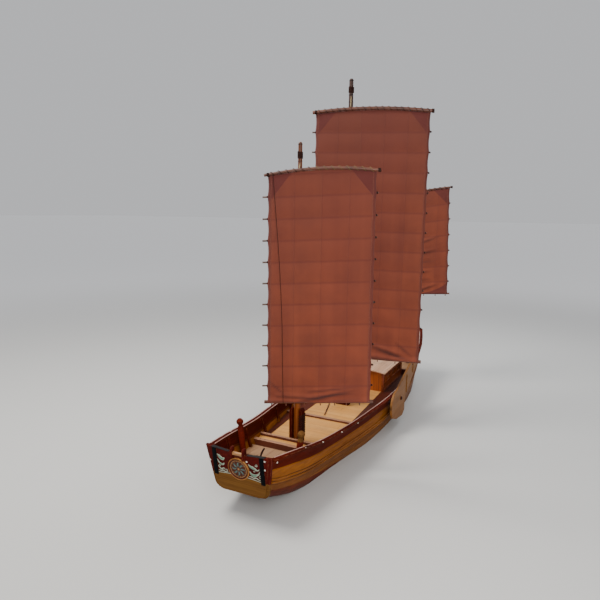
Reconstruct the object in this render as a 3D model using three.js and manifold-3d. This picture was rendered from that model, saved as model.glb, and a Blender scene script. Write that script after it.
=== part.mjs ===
// A three-masted Chinese junk of the flat-bottomed sand-trader kind, sails set.
// Millimetres. +X to the bow, +Y to port, +Z up. The origin is on the centre line amidships,
// on the underside of the flat bottom, so that the hull can stand on a slip.
import * as THREE from 'three';
import { mergeVertices } from 'three/addons/utils/BufferGeometryUtils.js';
import Module from 'manifold-3d';

const wasm = await Module();
wasm.setup();

// Driving dimensions
const GAP = 0.3;                 // between two faces that touch
const SIDE_THICK = 45;           // side planking
const BULWARK_THICK = 57;        // bulwark planking, 12 mm prouder inside
const BOTTOM_THICK = 60;
const TRANSOM_THICK = 60;
const DECK_THICK = 38;
const RAIL_CAP = { width: 125, height: 36, overhang: 28 };
const STRAKES = { bulwark: 365, plank: 245, wales: 195 };   // depths below the rail, one under the other
const WALE_PROUD = 26;           // how far the two half-round wales stand out
const RAKE_HEIGHT = 1200;        // the height at which a station's x is given

// Hull stations from stern to bow. x and rake (forward lean per mm of height), then the
// bottom's height, the rail's height, the half breadths of the flat bottom, of the top of
// the bilge and of the rail, the height of the bilge, and the strakes' share of their depth.
const STATION_COLUMNS = ['x', 'rake', 'bottom', 'rail', 'flat', 'bilge', 'top', 'turn', 'share'];
const STATIONS = [
  [-5460, -0.26, 560, 2170, 580, 770, 885, 210, 0.92],
  [-4700, -0.13, 300, 1880, 700, 940, 1120, 250, 0.92],
  [-3800, 0.00, 100, 1650, 800, 1060, 1240, 280, 0.90],
  [-2600, 0.00, 0, 1455, 900, 1165, 1360, 295, 0.87],
  [-1200, 0.00, 0, 1315, 960, 1205, 1430, 300, 0.85],
  [0, 0.00, 0, 1285, 960, 1190, 1395, 300, 0.84],
  [1200, 0.00, 0, 1300, 890, 1095, 1305, 300, 0.85],
  [2300, 0.00, 25, 1338, 750, 900, 1225, 290, 0.87],
  [3300, 0.00, 120, 1385, 610, 750, 1110, 270, 0.90],
  [4100, 0.04, 270, 1467, 545, 695, 1030, 250, 0.94],
  [4900, 0.10, 470, 1596, 510, 680, 910, 240, 0.88],
  [5690, 0.16, 790, 1706, 490, 655, 768, 200, 0.70],
].map((row) => Object.fromEntries(row.map((value, i) => [STATION_COLUMNS[i], value])));
const SHELL_STEP = 450;          // spacing of the sections that the hull is lofted through
const STERN_X = STATIONS[0].x;
const BOW_X = STATIONS[STATIONS.length - 1].x;

// Deck levels and the fore-and-aft places of what stands on deck
const MAIN_DECK_Z = 900;
const FORE_DECK = { from: 3775, low: 960, high: 1040 };
const AFT_DECK = { to: -3760, z: 1080 };
const BEAMS = [
  { name: 'deck_beam_fore', x: 3710, width: 120, top: 1050 },
  { name: 'deck_beam_mast', x: 3325, width: 80, top: 1040 },
  { name: 'deck_beam_waist', x: 1450, width: 110, top: 950 },
];
const RIBS = { first: -4380, last: 5000, count: 11, width: 70, depth: 60, offDeck: 4, underCap: 25 };

// Masts: foot and top of each, and the cheeks that clasp its foot
const MASTS = [
  { name: 'fore', x: 3180, y: 0, top: 8040, footRadius: 82, topRadius: 46, cheekTop: 1790 },
  { name: 'main', x: 100, y: 0, top: 10050, footRadius: 112, topRadius: 58, cheekTop: 2030 },
  { name: 'mizzen', x: -4650, y: 760, top: 8000, footRadius: 64, topRadius: 38, cheekTop: 1700 },
];
const CHEEK = { gap: 12, thick: 70, length: 190, base: 120 };

// Sails. luff and leech are distances from the mast's axis along the boom, and head is the leech's
// at the yard. low and high are the boom's and yard's heights at the mast, and the slopes are
// their rise per mm towards the leech.
const SAIL_ANGLE = THREE.MathUtils.degToRad(110);   // the leech points to port, 20 degrees aft of square
const SAILS = {
  fore: { luff: 715, leech: 1755, head: 1730, low: 2005, high: 7343, lowSlope: 0.055, highSlope: 0.048,
    bow: 90, battens: 10, boomRadius: 42, yardRadius: 34, off: 165, past: 115 },
  main: { luff: 940, leech: 2110, head: 2120, low: 2430, high: 9160, lowSlope: -0.046, highSlope: 0.0075,
    bow: 87, battens: 12, boomRadius: 52, yardRadius: 44, off: 210, past: 80 },
  mizzen: { luff: 550, leech: 1178, head: 1065, low: 3676, high: 7218, lowSlope: 0.028, highSlope: 0.18,
    bow: 30, battens: 6, boomRadius: 32, yardRadius: 28, off: 135, past: 60 },
};
const CLOTH_THICK = 10;
const BATTEN_RADIUS = 17;
const BATTEN_PAST_LEECH = 40;
const FOOT_PANEL = 0.8;          // the lowest panel's share of the others' depth
const YARD_STEPS = 8;
const YARD_PAST = 80;
const YARD_CLEAR = 1.4;          // cloth's head below the yard, which is straight between its steps
const PARREL = { high: 70, wall: 22, arm: 26, sides: 24 };   // rings of boom and yard round the mast

// Cabin
const CABIN = { front: -1500, back: -3560, half: 730, foot: 900, eaves: 1500, crown: 60, wall: 40, roof: 34 };
const DOOR = { width: 480, sill: 60, height: 470, thick: 24, lap: 22, off: 0.6 };
const BACK_WINDOW = [-240, 240, 1180, 1400];
const SIDE_WINDOWS = [[-2240, -1860], [-2800, -2420], [-3360, -2980]];
const SIDE_WINDOW_Z = [1180, 1380];
const ROOF_OVER = { side: 55, front: 70, back: 60 };

// Steering gear and leeboards
const RUDDER = { stock: 62, behind: 110, bladeFoot: 70, thick: 76, head: 2300, collar: 88, collarDeep: 50 };
const GUDGEONS = { heights: [1290, 1640], deep: 90, clear: 3, wall: 42, arm: 70 };
const BLADE_OUTLINE = [[0, 0], [0, 1120], [-310, 1120], [-700, 900], [-740, 194]];   // aft of the stock, up it
const TILLER = { z: 2170, length: 1150, drop: 40, radius: 42, tip: 28 };
const LEEBOARD = { pivotX: -620, pivotZ: 1110, y: 1478, thick: 62 };
const LEEBOARD_PIN = { radius: 30, chock: 70, head: 52, headDeep: 28, run: 0.5, sides: 24 };
const LEEBOARD_OUTLINE = [[20, 1440], [200, 1300], [285, 1140], [270, 890], [170, 740], [-231, 598],
  [-853, 504], [-1060, 610], [-1104, 963], [-1600, 1268], [-2240, 1660], [-2420, 1780], [-2330, 1960],
  [-2020, 1990], [-1560, 1880], [-240, 1470]];

const WOOD = {
  maroon: { color: 0x50221d, roughness: 0.55, metalness: 0 },
  orange: { color: 0x9a5f30, roughness: 0.5, metalness: 0 },
  pale: { color: 0xcdaa87, roughness: 0.7, metalness: 0 },
  red: { color: 0x7a2c24, roughness: 0.5, metalness: 0 },
  brown: { color: 0x8a5a35, roughness: 0.6, metalness: 0 },
  gold: { color: 0xc98f50, roughness: 0.45, metalness: 0 },
  sail: { color: 0x884434, roughness: 0.9, metalness: 0 },
};

const ship = new THREE.Group();

function addMesh(parent, name, geometry, finish) {
  const material = new THREE.MeshStandardMaterial(WOOD[finish]);
  const mesh = new THREE.Mesh(geometry, material);
  mesh.name = name;
  parent.add(mesh);
  return mesh;
}

// A closed mesh with shared corners, its faces turned outwards
function closed(vertices, triangles) {
  let volume = 0;
  const a = new THREE.Vector3();
  const b = new THREE.Vector3();
  const c = new THREE.Vector3();
  for (const [i, j, k] of triangles) {
    a.copy(vertices[i]);
    b.copy(vertices[j]);
    c.copy(vertices[k]);
    volume += a.dot(b.cross(c));
  }
  const index = triangles.flatMap(([i, j, k]) => (volume < 0 ? [i, k, j] : [i, j, k]));
  const geometry = new THREE.BufferGeometry();
  const flat = vertices.flatMap((v) => [v.x, v.y, v.z]);
  geometry.setAttribute('position', new THREE.Float32BufferAttribute(flat, 3));
  geometry.setIndex(index);
  return geometry;
}

// A plate between two grids of points that match row by row
function plate(front, back) {
  const rows = front.length;
  const cols = front[0].length;
  const vertices = [...front.flat(), ...back.flat()];
  const at = (side, i, j) => side * rows * cols + i * cols + j;
  const triangles = [];
  const quad = (p, q, r, s) => triangles.push([p, q, r], [p, r, s]);
  for (let i = 0; i < rows - 1; i += 1) {
    for (let j = 0; j < cols - 1; j += 1) {
      quad(at(0, i, j), at(0, i + 1, j), at(0, i + 1, j + 1), at(0, i, j + 1));
      quad(at(1, i, j), at(1, i, j + 1), at(1, i + 1, j + 1), at(1, i + 1, j));
    }
    quad(at(0, i, 0), at(1, i, 0), at(1, i + 1, 0), at(0, i + 1, 0));
    quad(at(0, i + 1, cols - 1), at(1, i + 1, cols - 1), at(1, i, cols - 1), at(0, i, cols - 1));
  }
  for (let j = 0; j < cols - 1; j += 1) {
    quad(at(0, 0, j + 1), at(1, 0, j + 1), at(1, 0, j), at(0, 0, j));
    quad(at(0, rows - 1, j), at(1, rows - 1, j), at(1, rows - 1, j + 1), at(0, rows - 1, j + 1));
  }
  return closed(vertices, triangles);
}

function asSolid(geometry) {
  const bare = geometry.clone();
  bare.deleteAttribute('normal');
  bare.deleteAttribute('uv');
  const merged = mergeVertices(bare, 0.001);
  return new wasm.Manifold(new wasm.Mesh({
    numProp: 3,
    vertProperties: new Float32Array(merged.attributes.position.array),
    triVerts: new Uint32Array(merged.index.array),
  }));
}

function asGeometry(solid) {
  const mesh = solid.getMesh();
  const geometry = new THREE.BufferGeometry();
  geometry.setAttribute('position', new THREE.BufferAttribute(new Float32Array(mesh.vertProperties), 3));
  geometry.setIndex(new THREE.BufferAttribute(new Uint32Array(mesh.triVerts), 1));
  return geometry;
}

function joined(...geometries) {
  return asGeometry(geometries.map(asSolid).reduce((whole, part) => whole.add(part)));
}

function cut(body, ...tools) {
  return asGeometry(tools.map(asSolid).reduce((whole, tool) => whole.subtract(tool), asSolid(body)));
}

function block(x0, x1, y0, y1, z0, z1) {
  const box = new THREE.BoxGeometry(x1 - x0, y1 - y0, z1 - z0);
  return box.translate((x0 + x1) / 2, (y0 + y1) / 2, (z0 + z1) / 2);
}

// A round bar or cone between two points
function bar(from, to, fromRadius, toRadius = fromRadius, sides = 12) {
  const along = new THREE.Vector3().subVectors(to, from);
  const length = along.length();
  const geometry = new THREE.CylinderGeometry(toRadius, fromRadius, length, sides);
  const turn = new THREE.Quaternion().setFromUnitVectors(new THREE.Vector3(0, 1, 0), along.normalize());
  geometry.applyQuaternion(turn);
  return geometry.translate((from.x + to.x) / 2, (from.y + to.y) / 2, (from.z + to.z) / 2);
}

// A ring about a vertical axis, of square section
function ring(inner, outer, low, high, sides = 24) {
  const corners = [[inner, low], [outer, low], [outer, high], [inner, high], [inner, low]];
  const geometry = new THREE.LatheGeometry(corners.map(([r, z]) => new THREE.Vector2(r, z)), sides);
  return geometry.rotateX(Math.PI / 2);
}

// An outline in X and Z made into a slab across Y
function slabAcross(shape, y0, y1) {
  const geometry = new THREE.ExtrudeGeometry(shape, { depth: y1 - y0, bevelEnabled: false, curveSegments: 8 });
  return geometry.rotateX(Math.PI / 2).translate(0, y1, 0);
}

// An outline in Y and Z made into a slab along X
function slabAlong(shape, x0, x1) {
  const geometry = new THREE.ExtrudeGeometry(shape, { depth: x1 - x0, bevelEnabled: false, curveSegments: 8 });
  const place = new THREE.Matrix4().set(0, 0, 1, x0, 1, 0, 0, 0, 0, 1, 0, 0, 0, 0, 0, 1);
  return geometry.applyMatrix4(place);
}

function rectangle(a0, a1, b0, b1) {
  const shape = new THREE.Shape();
  shape.moveTo(a0, b0);
  shape.lineTo(a0, b1);
  shape.lineTo(a1, b1);
  shape.lineTo(a1, b0);
  shape.closePath();
  return shape;
}

// The hull's form. A station value between two given stations is a fair cubic through them.
function fairStation(x) {
  const last = STATIONS.length - 1;
  let i = STATIONS.findIndex((station, k) => k < last && x <= STATIONS[k + 1].x);
  if (i < 0) i = last - 1;
  const s0 = STATIONS[Math.max(i - 1, 0)];
  const s1 = STATIONS[i];
  const s2 = STATIONS[i + 1];
  const s3 = STATIONS[Math.min(i + 2, last)];
  const span = s2.x - s1.x;
  const t = (x - s1.x) / span;
  const station = { x };
  for (const key of STATION_COLUMNS.slice(1)) {
    const slope1 = (s2[key] - s0[key]) / (s2.x - s0.x) * span;
    const slope2 = (s3[key] - s1[key]) / (s3.x - s1.x) * span;
    const rise = s2[key] - s1[key];
    station[key] = s1[key] + slope1 * t + (3 * rise - 2 * slope1 - slope2) * t * t
      + (slope1 + slope2 - 2 * rise) * t * t * t;
  }
  station.bottom = Math.max(station.bottom, 0);
  return station;
}

// Half breadth of the outside of the planking at a station and height
function halfBreadth(station, z) {
  const up = z - station.bottom;
  if (up < station.turn) {
    const short = 1 - Math.max(up, 0) / station.turn;
    return station.flat + (station.bilge - station.flat) * Math.sqrt(1 - short * short);
  }
  const share = (up - station.turn) / (station.rail - station.bottom - station.turn);
  return station.bilge + (station.top - station.bilge) * share;
}

function hullPoint(station, side, z, inward = 0) {
  const x = station.x + station.rake * (z - RAKE_HEIGHT);
  return new THREE.Vector3(x, side * (halfBreadth(station, z) - inward), z);
}

function levels(station) {
  const bulwark = station.rail - STRAKES.bulwark * station.share;
  const plank = bulwark - STRAKES.plank * station.share;
  const wales = plank - STRAKES.wales * station.share;
  return { bilge: station.bottom + station.turn, wales, plank, bulwark, cap: station.rail - RAIL_CAP.height };
}

// The planking is straight between these sections, and everything that fits against it follows them
const SECTION_COUNT = Math.ceil((BOW_X - STERN_X) / SHELL_STEP);
const SECTIONS = Array.from({ length: SECTION_COUNT + 1 }, (_, i) => (
  fairStation(STERN_X + (BOW_X - STERN_X) * i / SECTION_COUNT)));
function stationAt(x) {
  const place = THREE.MathUtils.clamp((x - STERN_X) / (BOW_X - STERN_X), 0, 1) * SECTION_COUNT;
  const i = Math.min(Math.floor(place), SECTION_COUNT - 1);
  const mixed = STATION_COLUMNS.map((key) => (
    [key, THREE.MathUtils.lerp(SECTIONS[i][key], SECTIONS[i + 1][key], place - i)]));
  return Object.fromEntries(mixed);
}
function stationsBetween(x0, x1) {
  const inside = SECTIONS.filter((section) => section.x > x0 + 20 && section.x < x1 - 20);
  return [stationAt(x0), ...inside, stationAt(x1)];
}

// Bottom planking with its rounded bilges, one plate from chine to chine
const BILGE_STEPS = 4;
function bottomLoop(station, inward) {
  const heights = [];
  for (let i = BILGE_STEPS; i >= 0; i -= 1) {
    heights.push(station.bottom + station.turn * (1 - Math.cos(Math.PI / 2 * i / BILGE_STEPS)));
  }
  const thick = inward > 0 ? BOTTOM_THICK : 0;
  const half = heights.map((z, i) => {
    const share = 1 - i / BILGE_STEPS;
    const y = halfBreadth(station, z) - inward;
    return [y, z + thick * (1 - share)];
  });
  const port = half.map(([y, z]) => [y, z]);
  const starboard = half.map(([y, z]) => [-y, z]).reverse();
  return [...port, ...starboard].map(([y, z]) => (
    new THREE.Vector3(station.x + station.rake * (z - RAKE_HEIGHT), y, z)));
}
addMesh(ship, 'bottom_planking', plate(
  SECTIONS.map((station) => bottomLoop(station, 0)),
  SECTIONS.map((station) => bottomLoop(station, SIDE_THICK))), 'brown');

// Side planking of each side, with two half-round wales standing out of it
function sideHeights(station) {
  const at = levels(station);
  const wale = (at.plank - at.wales) / 2;
  const rows = [[at.bilge + GAP, 0], [at.wales, 0]];
  for (const low of [at.wales, at.wales + wale]) {
    rows.push([low + wale * 0.12, WALE_PROUD * 0.75], [low + wale * 0.5, WALE_PROUD]);
    rows.push([low + wale * 0.88, WALE_PROUD * 0.75], [low + wale, 0]);
  }
  rows.push([at.bulwark - GAP, 0]);
  return rows;
}
const SIDES = [['port', 1], ['starboard', -1]];
function sidePlanking(side, thick) {
  const outer = SECTIONS.map((station) => (
    sideHeights(station).map(([z, proud]) => hullPoint(station, side, z, -proud))));
  const inner = SECTIONS.map((station) => (
    sideHeights(station).map(([z]) => hullPoint(station, side, z, thick))));
  return plate(outer, inner);
}
for (const [sideName, side] of SIDES) {
  addMesh(ship, `side_planking_${sideName}`, sidePlanking(side, SIDE_THICK), 'orange');
}
function bulwarkStrip(sections, side, thick, spare = 0) {
  const strip = (inward) => sections.map((station) => {
    const at = levels(station);
    const middle = (at.bulwark + at.cap) / 2;
    return [at.bulwark - spare, middle, at.cap].map((z) => hullPoint(station, side, z, inward));
  });
  return plate(strip(0), strip(thick));
}
// Decks and beams are let in between the sides: they are made wide, then trimmed to the planking
const TRIM = SIDES.flatMap(([, side]) => (
  [sidePlanking(side, SIDE_THICK + GAP), bulwarkStrip(SECTIONS, side, BULWARK_THICK + GAP, 2 * GAP)]));
const LET_IN = 30;

// Bulwarks, each in two lengths with its ribs and its rail cap
function deckHeight(x) {
  if (x > FORE_DECK.from) {
    return FORE_DECK.low + (FORE_DECK.high - FORE_DECK.low) * (x - FORE_DECK.from) / (BOW_X - FORE_DECK.from);
  }
  return x < AFT_DECK.to ? AFT_DECK.z : MAIN_DECK_Z;
}
function bulwarkRib(x, side) {
  const low = deckHeight(x) + RIBS.offDeck;
  const { bulwark, cap } = levels(stationAt(x));
  const heights = [low, bulwark + 20, cap - RIBS.underCap];
  const skinPoint = (edge, z, inward) => {
    const leaning = stationAt(edge - stationAt(edge).rake * (z - RAKE_HEIGHT));
    return new THREE.Vector3(edge, side * (halfBreadth(leaning, z) - inward), z);
  };
  const face = (inward) => [x - RIBS.width / 2, x + RIBS.width / 2].map((edge) => (
    heights.map((z) => skinPoint(edge, z, inward))));
  return plate(face(BULWARK_THICK - 4), face(BULWARK_THICK + RIBS.depth));
}
// The leeboard's pin stands on a chock on the bulwark and ends in a round head outside the board
function leeboardPin(side) {
  const at = (y) => new THREE.Vector3(LEEBOARD.pivotX, side * y, LEEBOARD.pivotZ);
  const { radius, chock, head, headDeep, run, sides } = LEEBOARD_PIN;
  const skin = halfBreadth(stationAt(LEEBOARD.pivotX), LEEBOARD.pivotZ) - BULWARK_THICK / 2;
  const outside = LEEBOARD.y + LEEBOARD.thick + run;
  return [bar(at(skin), at(LEEBOARD.y - run), chock, chock, sides),
    bar(at(skin), at(outside + headDeep), radius, radius, sides),
    bar(at(outside), at(outside + headDeep), head, head, sides)];
}
const BUTT = 12;                 // the section at which the two lengths meet
const CAP_SUNK = 3;
const LENGTHS = { aft: [0, BUTT], fore: [BUTT, SECTION_COUNT] };
const ribPlaces = Array.from({ length: RIBS.count }, (_, i) => (
  RIBS.first + (RIBS.last - RIBS.first) * i / (RIBS.count - 1)));
for (const [sideName, side] of SIDES) {
  for (const [lengthName, [first, last]] of Object.entries(LENGTHS)) {
    const sections = SECTIONS.slice(first, last + 1);
    if (first === BUTT) sections[0] = stationAt(SECTIONS[BUTT].x + GAP);
    const from = sections[0].x;
    const to = sections[sections.length - 1].x;
    const cap = (drop) => sections.map((station) => {
      const out = hullPoint(station, side, station.rail - drop, -RAIL_CAP.overhang);
      const inn = hullPoint(station, side, station.rail - drop, RAIL_CAP.width - RAIL_CAP.overhang);
      return [out, inn];
    });
    const ribs = ribPlaces.filter((x) => x > from && x < to).map((x) => bulwarkRib(x, side));
    const pin = LEEBOARD.pivotX > from && LEEBOARD.pivotX < to ? leeboardPin(side) : [];
    addMesh(ship, `bulwark_${sideName}_${lengthName}`, joined(bulwarkStrip(sections, side, BULWARK_THICK),
      plate(cap(0), cap(RAIL_CAP.height + CAP_SUNK)), ...ribs, ...pin), 'maroon');
  }
}

// Bow and stern transoms: the end section's outline, raked with it
function transomShape(station, top, topEdge, narrow = 0) {
  const heights = [];
  for (let i = 0; i <= BILGE_STEPS; i += 1) {
    heights.push(station.bottom + station.turn * (1 - Math.cos(Math.PI / 2 * i / BILGE_STEPS)));
  }
  heights.push(top);
  const half = heights.map((z) => [halfBreadth(station, z) - narrow, z]);
  const mirrored = (points) => points.map(([y, z]) => [-y, z]).reverse();
  const outline = [...half, ...topEdge, ...mirrored(topEdge), ...mirrored(half)];
  return new THREE.Shape(outline.map(([y, z]) => new THREE.Vector2(y, z)));
}
// An outline in Y and Z made into a plate that leans with the rake, from x outwards
function rakedPlate(shape, station, from, thick) {
  const geometry = new THREE.ExtrudeGeometry(shape, { depth: thick, bevelEnabled: false, curveSegments: 6 });
  const place = new THREE.Matrix4().set(
    0, station.rake, 1, station.x + from - station.rake * RAKE_HEIGHT,
    1, 0, 0, 0,
    0, 1, 0, 0,
    0, 0, 0, 1);
  return geometry.applyMatrix4(place);
}
const BOW = stationAt(BOW_X);
const STERN = stationAt(STERN_X);
const BOW_FACE = GAP + TRANSOM_THICK;

// The painted board of the bow is a little narrower than the transom that it lies on. Two dark
// posts on it frame the painted field, and the cable roller's cheeks rise from its top edge.
const BOW_BOARD = { narrow: 62, proud: 26 };
const BOW_POST = { y: 555, width: 90, proud: 22, low: 1130, high: 1730 };
const ROLLER = { x: 5840, z: 1700, radius: 42, half: 112, pin: 17, bore: 17.7, cheek: 40, run: 6 };
const CHEEK_PLATE = { back: 60, front: 52, foot: 110, top: 130 };
const BOW_TOP = { corner: 1756, middle: 1705, notch: 1642 };
const NOTCH = ROLLER.half + ROLLER.run + ROLLER.cheek;
const bowEdge = [[NOTCH, BOW_TOP.middle], [NOTCH, BOW_TOP.notch]];
function bowPost(side) {
  const inner = side * (BOW_POST.y - BOW_POST.width / 2);
  const outer = side * (BOW_POST.y + BOW_POST.width / 2);
  const shape = rectangle(Math.min(inner, outer), Math.max(inner, outer), BOW_POST.low, BOW_POST.high);
  return rakedPlate(shape, BOW, BOW_FACE + BOW_BOARD.proud - 5, BOW_POST.proud + 5);
}
// Cheek of the roller, in X and Z from the pin's axis
function rollerCheek(side) {
  const { back, front, foot, top } = CHEEK_PLATE;
  const cheek = new THREE.Shape();
  cheek.moveTo(-back, -foot);
  cheek.lineTo(front, -foot);
  cheek.lineTo(front, top - 30);
  cheek.lineTo(front - 22, top);
  cheek.lineTo(-back + 12, top);
  cheek.lineTo(-back, top - 20);
  cheek.closePath();
  const hole = new THREE.Path();
  hole.absarc(0, 0, ROLLER.bore, 0, Math.PI * 2, true);
  cheek.holes.push(hole);
  const inside = side * (ROLLER.half + ROLLER.run);
  const outside = inside + side * ROLLER.cheek;
  return slabAcross(cheek, Math.min(inside, outside), Math.max(inside, outside)).translate(ROLLER.x, 0, ROLLER.z);
}
addMesh(ship, 'bow_transom', joined(
  rakedPlate(transomShape(BOW, BOW_TOP.corner, bowEdge), BOW, GAP, TRANSOM_THICK),
  rakedPlate(transomShape(BOW, BOW_TOP.corner, bowEdge, BOW_BOARD.narrow), BOW, BOW_FACE - 1, BOW_BOARD.proud + 1),
  ...SIDES.flatMap(([, side]) => [bowPost(side), rollerCheek(side)])), 'red');
function sternPlate(shape, from, thick) {
  return rakedPlate(shape, STERN, -from - thick, thick);
}

// Medallion on the bow: a flat disc inside a rounded ring
const MEDALLION = { z: 1370, outer: 250, band: 34, proud: 34, disc: 14 };
function medallion() {
  const { outer, band, proud, disc } = MEDALLION;
  const profile = [[0, 0], [outer, 0], [outer, proud * 0.6], [outer - band / 2, proud],
    [outer - band, proud * 0.6], [outer - band, disc], [0, disc]];
  return new THREE.LatheGeometry(profile.map(([r, h]) => new THREE.Vector2(r, h)), 40);
}
const medallionTilt = new THREE.Group();
medallionTilt.rotation.y = Math.atan(BOW.rake);
medallionTilt.position.set(
  BOW.x + BOW_FACE + BOW_BOARD.proud + GAP + BOW.rake * (MEDALLION.z - RAKE_HEIGHT), 0, MEDALLION.z);
addMesh(medallionTilt, 'bow_medallion', medallion(), 'gold').rotation.z = -Math.PI / 2;
ship.add(medallionTilt);

// Stern transom with the two jaws that hold the rudder stock
const stockFoot = new THREE.Vector3(
  STERN.x - GAP - TRANSOM_THICK - RUDDER.behind + STERN.rake * (RUDDER.bladeFoot - RAKE_HEIGHT), 0,
  RUDDER.bladeFoot);
const stockTurn = new THREE.Group();
stockTurn.position.copy(stockFoot);
stockTurn.rotation.y = Math.atan(STERN.rake);
stockTurn.updateMatrixWorld(true);
const leanScale = Math.cos(Math.atan(STERN.rake));
const alongStock = (z) => (z - RUDDER.bladeFoot) / leanScale;
function gudgeon(z) {
  const low = alongStock(z);
  const { deep, clear, wall, arm } = GUDGEONS;
  const holder = ring(RUDDER.stock + clear, RUDDER.stock + wall, low, low + deep);
  const bracket = block(RUDDER.stock + wall / 2, RUDDER.behind + TRANSOM_THICK / 2, -arm, arm, low, low + deep);
  return joined(holder, bracket).applyMatrix4(stockTurn.matrixWorld);
}
const STERN_DIP = { depth: 180, half: 720, steps: 5 };
const sternTop = STERN.rail - RAIL_CAP.height;
const sternEdge = Array.from({ length: STERN_DIP.steps }, (_, i) => {
  const share = 1 - i / STERN_DIP.steps;
  return [STERN_DIP.half * share, sternTop - STERN_DIP.depth * (1 - share * share)];
});
addMesh(ship, 'stern_transom', joined(
  sternPlate(transomShape(STERN, sternTop, sternEdge), GAP, TRANSOM_THICK), ...GUDGEONS.heights.map(gudgeon)), 'orange');

// Decks, hatch boards and the beams that lie across
function deckSlab(x0, x1, topOf, above, below) {
  const stations = stationsBetween(x0, x1);
  const edge = (rise) => stations.map((station) => (
    [1, -1].map((side) => hullPoint(station, side, topOf(station.x) + rise, LET_IN))));
  return plate(edge(above), edge(-below));
}
function deckPlate(x0, x1, topOf) {
  return cut(deckSlab(x0, x1, topOf, 0, DECK_THICK), ...TRIM);
}
const beamEdge = (beam, end) => beam.x + end * (beam.width / 2 + GAP);
const [BEAM_FORE, BEAM_MAST, BEAM_WAIST] = BEAMS;
const FORE_DECK_FROM = beamEdge(BEAM_FORE, 1);
addMesh(ship, 'fore_deck', deckPlate(FORE_DECK_FROM, BOW_X, deckHeight), 'pale');
addMesh(ship, 'hatch_board', deckPlate(beamEdge(BEAM_MAST, 1), beamEdge(BEAM_FORE, -1), () => 975), 'pale');
addMesh(ship, 'mast_deck', deckPlate(beamEdge(BEAM_WAIST, 1), beamEdge(BEAM_MAST, -1), () => MAIN_DECK_Z), 'pale');
addMesh(ship, 'main_deck', deckPlate(AFT_DECK.to + 60 + GAP, beamEdge(BEAM_WAIST, -1), () => MAIN_DECK_Z), 'pale');
addMesh(ship, 'aft_deck', deckPlate(STERN_X, AFT_DECK.to, () => AFT_DECK.z), 'pale');
function crossTimber(x, width, low, top) {
  const stations = [x - width / 2, x + width / 2].map(stationAt);
  const face = (z) => stations.map((station) => [1, -1].map((side) => hullPoint(station, side, z, LET_IN)));
  return cut(plate(face(top), face(low)), ...TRIM);
}
for (const beam of BEAMS) {
  addMesh(ship, beam.name, crossTimber(beam.x, beam.width, 800, beam.top), 'brown');
}
addMesh(ship, 'break_beam', crossTimber(AFT_DECK.to + 30, 60 - GAP, MAIN_DECK_Z - 80, AFT_DECK.z), 'brown');

// Mooring bitts, turned posts that lean out with the bulwark
const BITTS = { x: 4540, y: 680, top: 1850, lean: THREE.MathUtils.degToRad(7), radius: 70, sunk: 40 };
const deckUnderBitts = deckSlab(FORE_DECK_FROM, BOW_X, deckHeight, GAP, 2 * BITTS.sunk);
for (const [sideName, side] of SIDES) {
  const r = BITTS.radius;
  const height = BITTS.top - deckHeight(BITTS.x);
  const profile = [[0, -BITTS.sunk], [r, -BITTS.sunk], [r, height - 210], [r * 0.7, height - 170],
    [r * 0.7, height - 140], [r * 1.15, height - 95], [r * 1.15, height - 45], [r * 0.6, height], [0, height]];
  const post = new THREE.LatheGeometry(profile.map(([a, h]) => new THREE.Vector2(a, h)), 14);
  post.rotateX(Math.PI / 2 - side * BITTS.lean).translate(BITTS.x, side * BITTS.y, deckHeight(BITTS.x));
  addMesh(ship, `bitt_${sideName}`, cut(post, deckUnderBitts), 'red');
}

// Bow roller for the anchor cable, its pin in the transom's cheeks
function rollerSolid() {
  const pinEnd = ROLLER.half + ROLLER.run + ROLLER.cheek - 2;
  const profile = [[0, -pinEnd], [ROLLER.pin, -pinEnd], [ROLLER.pin, -ROLLER.half],
    [ROLLER.radius, -ROLLER.half], [ROLLER.radius * 0.84, 0], [ROLLER.radius, ROLLER.half],
    [ROLLER.pin, ROLLER.half], [ROLLER.pin, pinEnd], [0, pinEnd]];
  return new THREE.LatheGeometry(profile.map(([r, y]) => new THREE.Vector2(r, y)), 16);
}
addMesh(ship, 'bow_roller', rollerSolid(), 'brown').position.set(ROLLER.x, 0, ROLLER.z);

// Masts, each standing on a step between two cheeks
function mastFoot(mast) {
  return deckHeight(mast.x) + 2 * GAP + CHEEK.base;
}
function mastRadius(mast, z) {
  const share = (z - mastFoot(mast)) / (mast.top - mastFoot(mast));
  return mast.footRadius + (mast.topRadius - mast.footRadius) * share;
}
function stepShape(mast) {
  const inner = mast.footRadius + CHEEK.gap;
  const outer = inner + CHEEK.thick;
  const foot = deckHeight(mast.x) + GAP;
  const shape = new THREE.Shape();
  shape.moveTo(-outer, foot);
  shape.lineTo(outer, foot);
  shape.lineTo(outer, mast.cheekTop - 60);
  shape.lineTo(outer - CHEEK.thick / 2, mast.cheekTop);
  shape.lineTo(inner, mast.cheekTop);
  shape.lineTo(inner, foot + CHEEK.base);
  shape.lineTo(-inner, foot + CHEEK.base);
  shape.lineTo(-inner, mast.cheekTop);
  shape.lineTo(-outer + CHEEK.thick / 2, mast.cheekTop);
  shape.lineTo(-outer, mast.cheekTop - 60);
  shape.closePath();
  return shape;
}
for (const mast of MASTS) {
  const half = CHEEK.length / 2;
  addMesh(ship, `${mast.name}_mast_step`, slabAlong(stepShape(mast), -half, half), 'maroon')
    .position.set(mast.x, mast.y, 0);
  const foot = mastFoot(mast);
  const profile = [[0, foot], [mast.footRadius, foot], [mast.topRadius, mast.top - 30],
    [mast.topRadius * 0.6, mast.top], [0, mast.top]];
  const pole = new THREE.LatheGeometry(profile.map(([r, z]) => new THREE.Vector2(r, z)), 20);
  addMesh(ship, `${mast.name}_mast`, pole.rotateX(Math.PI / 2), 'brown').position.set(mast.x, mast.y, 0);
}

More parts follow.
